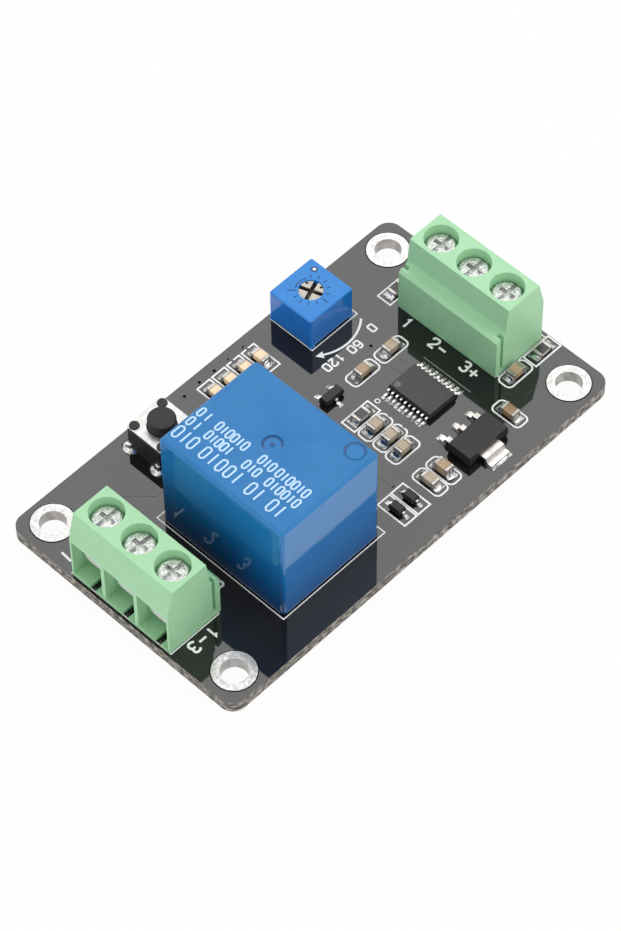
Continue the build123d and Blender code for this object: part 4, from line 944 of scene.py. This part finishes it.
def print_labels(ink):
    """Plain numbers and signs beside the terminal blocks, a short stroke and a ring."""
    bm = bmesh.new()
    for text, place, reading in LABELS:
        write_label(bm, text, place, reading, LABEL_SIZE, LABEL_PITCH)
    stroke(bm, list(SMALL_STROKE), GLYPH_LINE, BOARD_TOP)
    last_turn = 360 - 360 / PIN_MARK_CORNERS
    ring = arc(PIN_MARK, PIN_MARK_RADIUS, 0, last_turn, PIN_MARK_CORNERS - 1)
    stroke(bm, ring, THIN_LINE, BOARD_TOP, closed=True)
    new_piece("label_print", bm, ink)


def print_relay_span(bm, x_low, x_high, pitch, y_start, y_end):
    """One span of a row on the relay: every third mark is a stroke, the others are noughts."""
    origin = middle((RELAY_LOW, RELAY_HIGH)).xy
    half = pitch * RELAY_MARK_SHARE / 2
    count = round(abs(y_start - y_end) / pitch)
    for i in range(count):
        y = y_start + (y_end - y_start) * (i + 0.5) / count
        low, high = origin + Vector((x_low, y - half)), origin + Vector((x_high, y + half))
        if i % RELAY_STROKE_EVERY == 1:
            level = middle((low, high)).y
            outline, closed = [Vector((low.x, level)), Vector((high.x, level))], False
        else:
            outline, closed = rectangle(low, high, half), True
        stroke(bm, outline, RELAY_STROKE, RELAY_HIGH.z, closed, THIN_INK)


def print_relay(ink):
    """Rows of plain noughts and strokes on the relay's top."""
    bm = bmesh.new()
    for x_low, x_high, pitch, spans in RELAY_ROWS:
        for y_start, y_end in spans:
            print_relay_span(bm, x_low * MM, x_high * MM, pitch * MM, y_start * MM, y_end * MM)
    new_piece("relay_print", bm, ink)


def shade_mouldings(name, blue, width, height):
    """Painted shade along the walls of the gate mark and the ejector mark in the relay's top, and on a
    spot in the gate mark's middle.
    """
    bm = bmesh.new()
    origin, top = middle((RELAY_LOW, RELAY_HIGH)).xy, RELAY_HIGH.z
    for place, radius, depth in MOULDING_MARKS:
        stroke(bm, arc(origin + place, radius, *MARK_TURNS, MARK_STEPS), width, top - depth, height=height)
    disc(bm, origin + MOULDING_MARKS[0][0], GATE_SPOT, top - GATE_SPOT_DEPTH, height)
    new_piece(name, bm, blue)


def mark_trimmer(ink):
    """Dark ticks round the trimmer's mouth, an arc of painted shade along the mouth's edge, and its pin
    mark.
    """
    bm = bmesh.new()
    centre = middle(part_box("trimmer_rotor")).xy
    for i in range(TICK_COUNT):
        reach = LONG_TICKS.get(i, TICK_OUTER)
        turn = radians(TICK_START + TICK_STEP * i)
        way = Vector((cos(turn), sin(turn)))
        stroke(bm, [centre + way * TICK_INNER, centre + way * reach], TICK_WIDTH, TRIMMER_TOP)
    # Painted shade along the edge of the mouth's recess
    stroke(bm, arc(centre, TICK_INNER, *MOUTH_SHADE_ARC, MOUTH_SHADE_ARC_STEPS), TICK_WIDTH, TRIMMER_TOP)
    disc(bm, TRIMMER_MARK, TRIMMER_MARK_RADIUS, TRIMMER_TOP, INK_HEIGHT)
    new_piece("trimmer_marks", bm, ink)


def mark_trimmer_spot(ink):
    """The pale spot in the trimmer's pin mark."""
    bm = bmesh.new()
    disc(bm, TRIMMER_MARK, TRIMMER_SPOT_RADIUS, TRIMMER_TOP, TRIMMER_SPOT_HEIGHT)
    new_piece("trimmer_spot", bm, ink)


def mark_rotor(dark):
    """Two small dark dots of painted shade beside the rotor's cross slot, on its top."""
    bm = bmesh.new()
    low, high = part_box("trimmer_rotor")
    for turn in ROTOR_DOT_TURNS:
        way = Vector((cos(radians(turn)), sin(radians(turn))))
        disc(bm, middle((low, high)).xy + way * ROTOR_DOT_REACH, ROTOR_DOT_RADIUS, high.z, THIN_INK)
    new_piece("rotor_dot_shade", bm, dark, body="trimmer_rotor")


# Rings, tracks and solder


def lathe(bm, centre, profile):
    """Turns a closed profile of (radius, height) points about an upright axis."""
    rings = []
    for i in range(TURN_FACETS):
        turn = 2 * pi * i / TURN_FACETS
        points = [(centre.x + r * cos(turn), centre.y + r * sin(turn), z) for r, z in profile]
        rings.append([bm.verts.new(point) for point in points])
    for i in range(TURN_FACETS):
        one, other = rings[i], rings[(i + 1) % TURN_FACETS]
        for j in range(len(profile)):
            k = (j + 1) % len(profile)
            bm.faces.new((one[j], one[k], other[k], other[j]))


def disc(bm, centre, radius, low, height):
    """A flat disc that lies on a level."""
    lathe(bm, centre, ((AXIS_GAP, low), (radius, low), (radius, low + height), (AXIS_GAP, low + height)))


def flat_ring(bm, centre, inner, outer, low, height):
    """A flat ring between two radii that lies on a level."""
    lathe(bm, centre, ((inner, low), (outer, low), (outer, low + height), (inner, low + height)))


def make_mask_rings(dark):
    """The dark gap between the mask and the pad of each mounting hole."""
    bm = bmesh.new()
    for x in (-HOLE_X, HOLE_X):
        for y in (-HOLE_Y, HOLE_Y):
            flat_ring(bm, Vector((x, y)), PAD_RADIUS, PAD_RADIUS + MASK_GAP, BOARD_TOP, THIN_INK)
    new_piece("mask_rings", bm, dark)


def make_vias(mask, dark):
    """Plated through holes of the tracks, under the mask, each with painted shade as a dark disc in its
    hole.
    """
    rings, holes = bmesh.new(), bmesh.new()
    for place in VIAS:
        flat_ring(rings, place, VIA_RADIUS, VIA_RADIUS + VIA_RIM, BOARD_TOP, INK_HEIGHT)
        # Painted shade: a dark disc in the hole
        disc(holes, place, VIA_RADIUS, BOARD_TOP, THIN_INK)
    new_piece("via_rings", rings, mask)
    new_piece("via_hole_shade", holes, dark)


def make_traces(mask):
    """Copper tracks that show as low ridges under the mask."""
    bm = bmesh.new()
    for points in TRACES:
        stroke(bm, points, TRACE_WIDTH, BOARD_TOP, height=TRACE_HEIGHT)
    new_piece("tracks_under_mask", bm, mask)


def heap(bm, rows):
    """A solid from a grid of points on its top, closed down to the board."""
    top = [[bm.verts.new(p) for p in row] for row in rows]
    low = [[bm.verts.new((p.x, p.y, BOARD_TOP)) for p in row] for row in rows]
    last, width = len(rows) - 1, len(rows[0])
    for grid in (top, low):
        for i in range(last):
            for j in range(width - 1):
                bm.faces.new((grid[i][j], grid[i][j + 1], grid[i + 1][j + 1], grid[i + 1][j]))
    edge = [(0, j) for j in range(width)] + [(i, width - 1) for i in range(1, last + 1)]
    edge += [(last, j) for j in range(width - 2, -1, -1)] + [(i, 0) for i in range(last - 1, 0, -1)]
    for (i, j), (k, m) in zip(edge, edge[1:] + edge[:1]):
        bm.faces.new((top[i][j], top[k][m], low[k][m], low[i][j]))


def fillet(bm, foot, outward, width, rise, reach):
    """Solder that sweeps from a metal face down to the pad."""
    across = Vector((-outward.y, outward.x))
    rows = []
    for i in range(FILLET_STEPS + 1):
        out = i / FILLET_STEPS
        row = []
        for j in range(-FILLET_STEPS, FILLET_STEPS + 1):
            share = j / FILLET_STEPS
            side_drop = 1 - FILLET_SIDE_DROP * share ** FILLET_SIDE_POWER
            swell = 1 + FILLET_LUMP * sin(LUMP_TURN_PER_METRE * (foot.x + foot.y) + LUMP_TURN_PER_STEP * j)
            height = FILLET_SKIRT + rise * side_drop * swell * (1 - out) ** FILLET_HOLLOW
            reached = reach * out * (1 - FILLET_TAPER * share ** 2)
            spot = foot + outward * reached + across * (width / 2 * share)
            row.append(Vector((spot.x, spot.y, BOARD_TOP + height)))
        rows.append(row)
    heap(bm, rows)


def solder_chips(solder):
    """Fillets at both ends of every chip."""
    bm = bmesh.new()
    for kind in CHIP_KINDS:
        for low, high in whole_chips(*kind):
            centre, half = middle((low, high)).xy, (high - low) / 2
            along = Vector((1, 0)) if half.x > half.y else Vector((0, 1))
            length, width = max(half.x, half.y), 2 * min(half.x, half.y)
            for outward in (along, -along):
                foot = centre + outward * (length - FILLET_SEAT)
                fillet(bm, foot, outward, width, (high.z - BOARD_TOP) * FILLET_RISE, FILLET_REACH)
    new_piece("chip_solder", bm, solder, smooth=True)


def solder_leads(solder):
    """Small fillets at the toes of the bent leads."""
    bm = bmesh.new()
    for leads, bodies in LEADED_PARTS.items():
        body_boxes = separate_boxes(bodies)
        for low, high in separate_boxes(leads):
            lead, half = middle((low, high)).xy, (high - low) / 2
            body = min(body_boxes, key=lambda b: (middle(b).xy - lead).length)
            away, body_half = lead - middle(body).xy, (body[1] - body[0]) / 2
            beside = abs(away.x) > body_half.x
            outward = Vector((away.x, 0) if beside else (0, away.y)).normalized()
            length, width = (half.x, 2 * half.y) if beside else (half.y, 2 * half.x)
            foot = lead + outward * (length - TOE_SEAT)
            fillet(bm, foot, outward, width * TOE_SPREAD, TOE_RISE, TOE_REACH)
    new_piece("lead_solder", bm, solder, smooth=True)


def solder_switch_legs(solder):
    """Solder that rises round the switch's legs on the component side."""
    bm = bmesh.new()
    for low, high in separate_boxes("switch_legs"):
        profile = [(AXIS_GAP, BOARD_TOP), (LEG_CONE_FOOT, BOARD_TOP)]
        for i in range(CONE_RINGS + 1):
            share = i / CONE_RINGS
            radius = LEG_CONE_TOP + (LEG_CONE_FOOT - LEG_CONE_TOP) * (1 - share) ** CONE_HOLLOW
            profile.append((radius, BOARD_TOP + FILLET_SKIRT + LEG_CONE_HEIGHT * share))
        profile.append((AXIS_GAP, BOARD_TOP + LEG_CONE_HEIGHT + FILLET_SKIRT))
        lathe(bm, middle((low, high)).xy, profile)
    new_piece("leg_solder", bm, solder, smooth=True)


# Studio


def join_rays(tree, seen):
    """1 for rays from the camera and for rays by way of gloss or glass."""
    total = seen.outputs["Is Camera Ray"]
    for name in ("Is Glossy Ray", "Is Transmission Ray"):
        add = tree.nodes.new("ShaderNodeMath")
        add.operation = "ADD"
        add.use_clamp = True
        tree.links.new(total, add.inputs[0])
        tree.links.new(seen.outputs[name], add.inputs[1])
        total = add.outputs["Value"]
    return total


def build_world():
    """White to look at and in reflections, and a plain even light on the object."""
    world = bpy.data.worlds.new("studio")
    bpy.context.scene.world = world
    world.use_nodes = True
    tree = world.node_tree
    background = tree.nodes["Background"]
    seen = tree.nodes.new("ShaderNodeLightPath")
    share = join_rays(tree, seen)
    strength = tree.nodes.new("ShaderNodeMapRange")
    strength.inputs["To Min"].default_value = AMBIENT
    strength.inputs["To Max"].default_value = 1.0
    tree.links.new(share, strength.inputs["Value"])
    tree.links.new(strength.outputs["Result"], background.inputs["Strength"])
    background.inputs["Color"].default_value = (1.0, 1.0, 1.0, 1.0)


def floor_material():
    """Pale floor that looks nearly white and keeps a faint shadow."""
    material = bpy.data.materials.new("pale_floor")
    material.use_nodes = True
    tree = material.node_tree
    tree.nodes.clear()
    output = tree.nodes.new("ShaderNodeOutputMaterial")
    diffuse = tree.nodes.new("ShaderNodeBsdfDiffuse")
    diffuse.inputs["Color"].default_value = FLOOR_COLOUR
    glow = tree.nodes.new("ShaderNodeEmission")
    mix = tree.nodes.new("ShaderNodeMixShader")
    factor = tree.nodes.new("ShaderNodeMath")
    factor.operation = "MULTIPLY"
    factor.inputs[1].default_value = FLOOR_GLOW
    tree.links.new(join_rays(tree, tree.nodes.new("ShaderNodeLightPath")), factor.inputs[0])
    tree.links.new(factor.outputs["Value"], mix.inputs["Fac"])
    tree.links.new(diffuse.outputs["BSDF"], mix.inputs[1])
    tree.links.new(glow.outputs["Emission"], mix.inputs[2])
    tree.links.new(mix.outputs["Shader"], output.inputs["Surface"])
    return material


def build_floor():
    """A wide plain floor just under the object."""
    bm = bmesh.new()
    level = CAD_BOX[0][2] - FLOOR_GAP
    corners = ((-1, -1), (1, -1), (1, 1), (-1, 1))
    bm.faces.new([bm.verts.new((x * FLOOR_HALF_SIZE, y * FLOOR_HALF_SIZE, level)) for x, y in corners])
    mesh = bpy.data.meshes.new("floor")
    bm.to_mesh(mesh)
    bm.free()
    mesh.materials.append(floor_material())
    floor = bpy.data.objects.new("floor", mesh)
    bpy.context.scene.collection.objects.link(floor)


def build_light(name, place, size, level):
    """A square soft light that faces the origin."""
    lamp = bpy.data.lights.new(name, "AREA")
    lamp.size = size
    lamp.energy = level * pi * size ** 2
    light = bpy.data.objects.new(name, lamp)
    light.location = place
    light.rotation_mode = "QUATERNION"
    light.rotation_quaternion = (-place).to_track_quat("-Z", "Y")
    bpy.context.scene.collection.objects.link(light)


def build_camera():
    """The camera at the photograph's place."""
    lens = bpy.data.cameras.new("camera")
    lens.lens = CAMERA_LENS
    lens.sensor_width = CAMERA_SENSOR
    camera = bpy.data.objects.new("camera", lens)
    camera.location = CAMERA_TARGET + CAMERA_BACK * CAMERA_DISTANCE
    camera.rotation_mode = "QUATERNION"
    level = (-CAMERA_BACK).to_track_quat("-Z", "Y")
    camera.rotation_quaternion = level @ Quaternion((0, 0, 1), CAMERA_ROLL)
    bpy.context.scene.collection.objects.link(camera)
    bpy.context.scene.camera = camera


def main():
    """Dresses the model, adds its trim and builds the studio."""
    materials = make_materials()
    dress_nodes(materials)
    for node, width in SOFT_EDGES.items():
        soften(node, width)
    print_chip_outlines(materials["ink"])
    print_part_outlines(materials["ink"])
    print_controller_line(materials["faint_ink"])
    print_dial(materials["ink"])
    mark_controller(materials["mark"])
    print_labels(materials["ink"])
    print_relay(materials["pale_ink"])
    shade_mouldings("relay_soft_shade", materials["soft_shade"], SOFT_SHADE, THINNEST_INK)
    shade_mouldings("relay_deep_shade", materials["deep_shade"], DEEP_SHADE, THIN_INK)
    mark_trimmer(materials["dark_ink_and_shade"])
    mark_trimmer_spot(materials["ink"])
    mark_rotor(materials["dark"])
    make_mask_rings(materials["dark"])
    make_vias(materials["board"], materials["dark"])
    make_traces(materials["board"])
    solder_chips(materials["solder"])
    solder_leads(materials["solder"])
    solder_switch_legs(materials["solder"])
    build_world()
    build_floor()
    build_light("key", *KEY)
    build_light("softbox", *SOFTBOX)
    build_light("fill", *FILL)
    build_camera()
    bpy.context.scene.view_settings.view_transform = "Standard"


main()
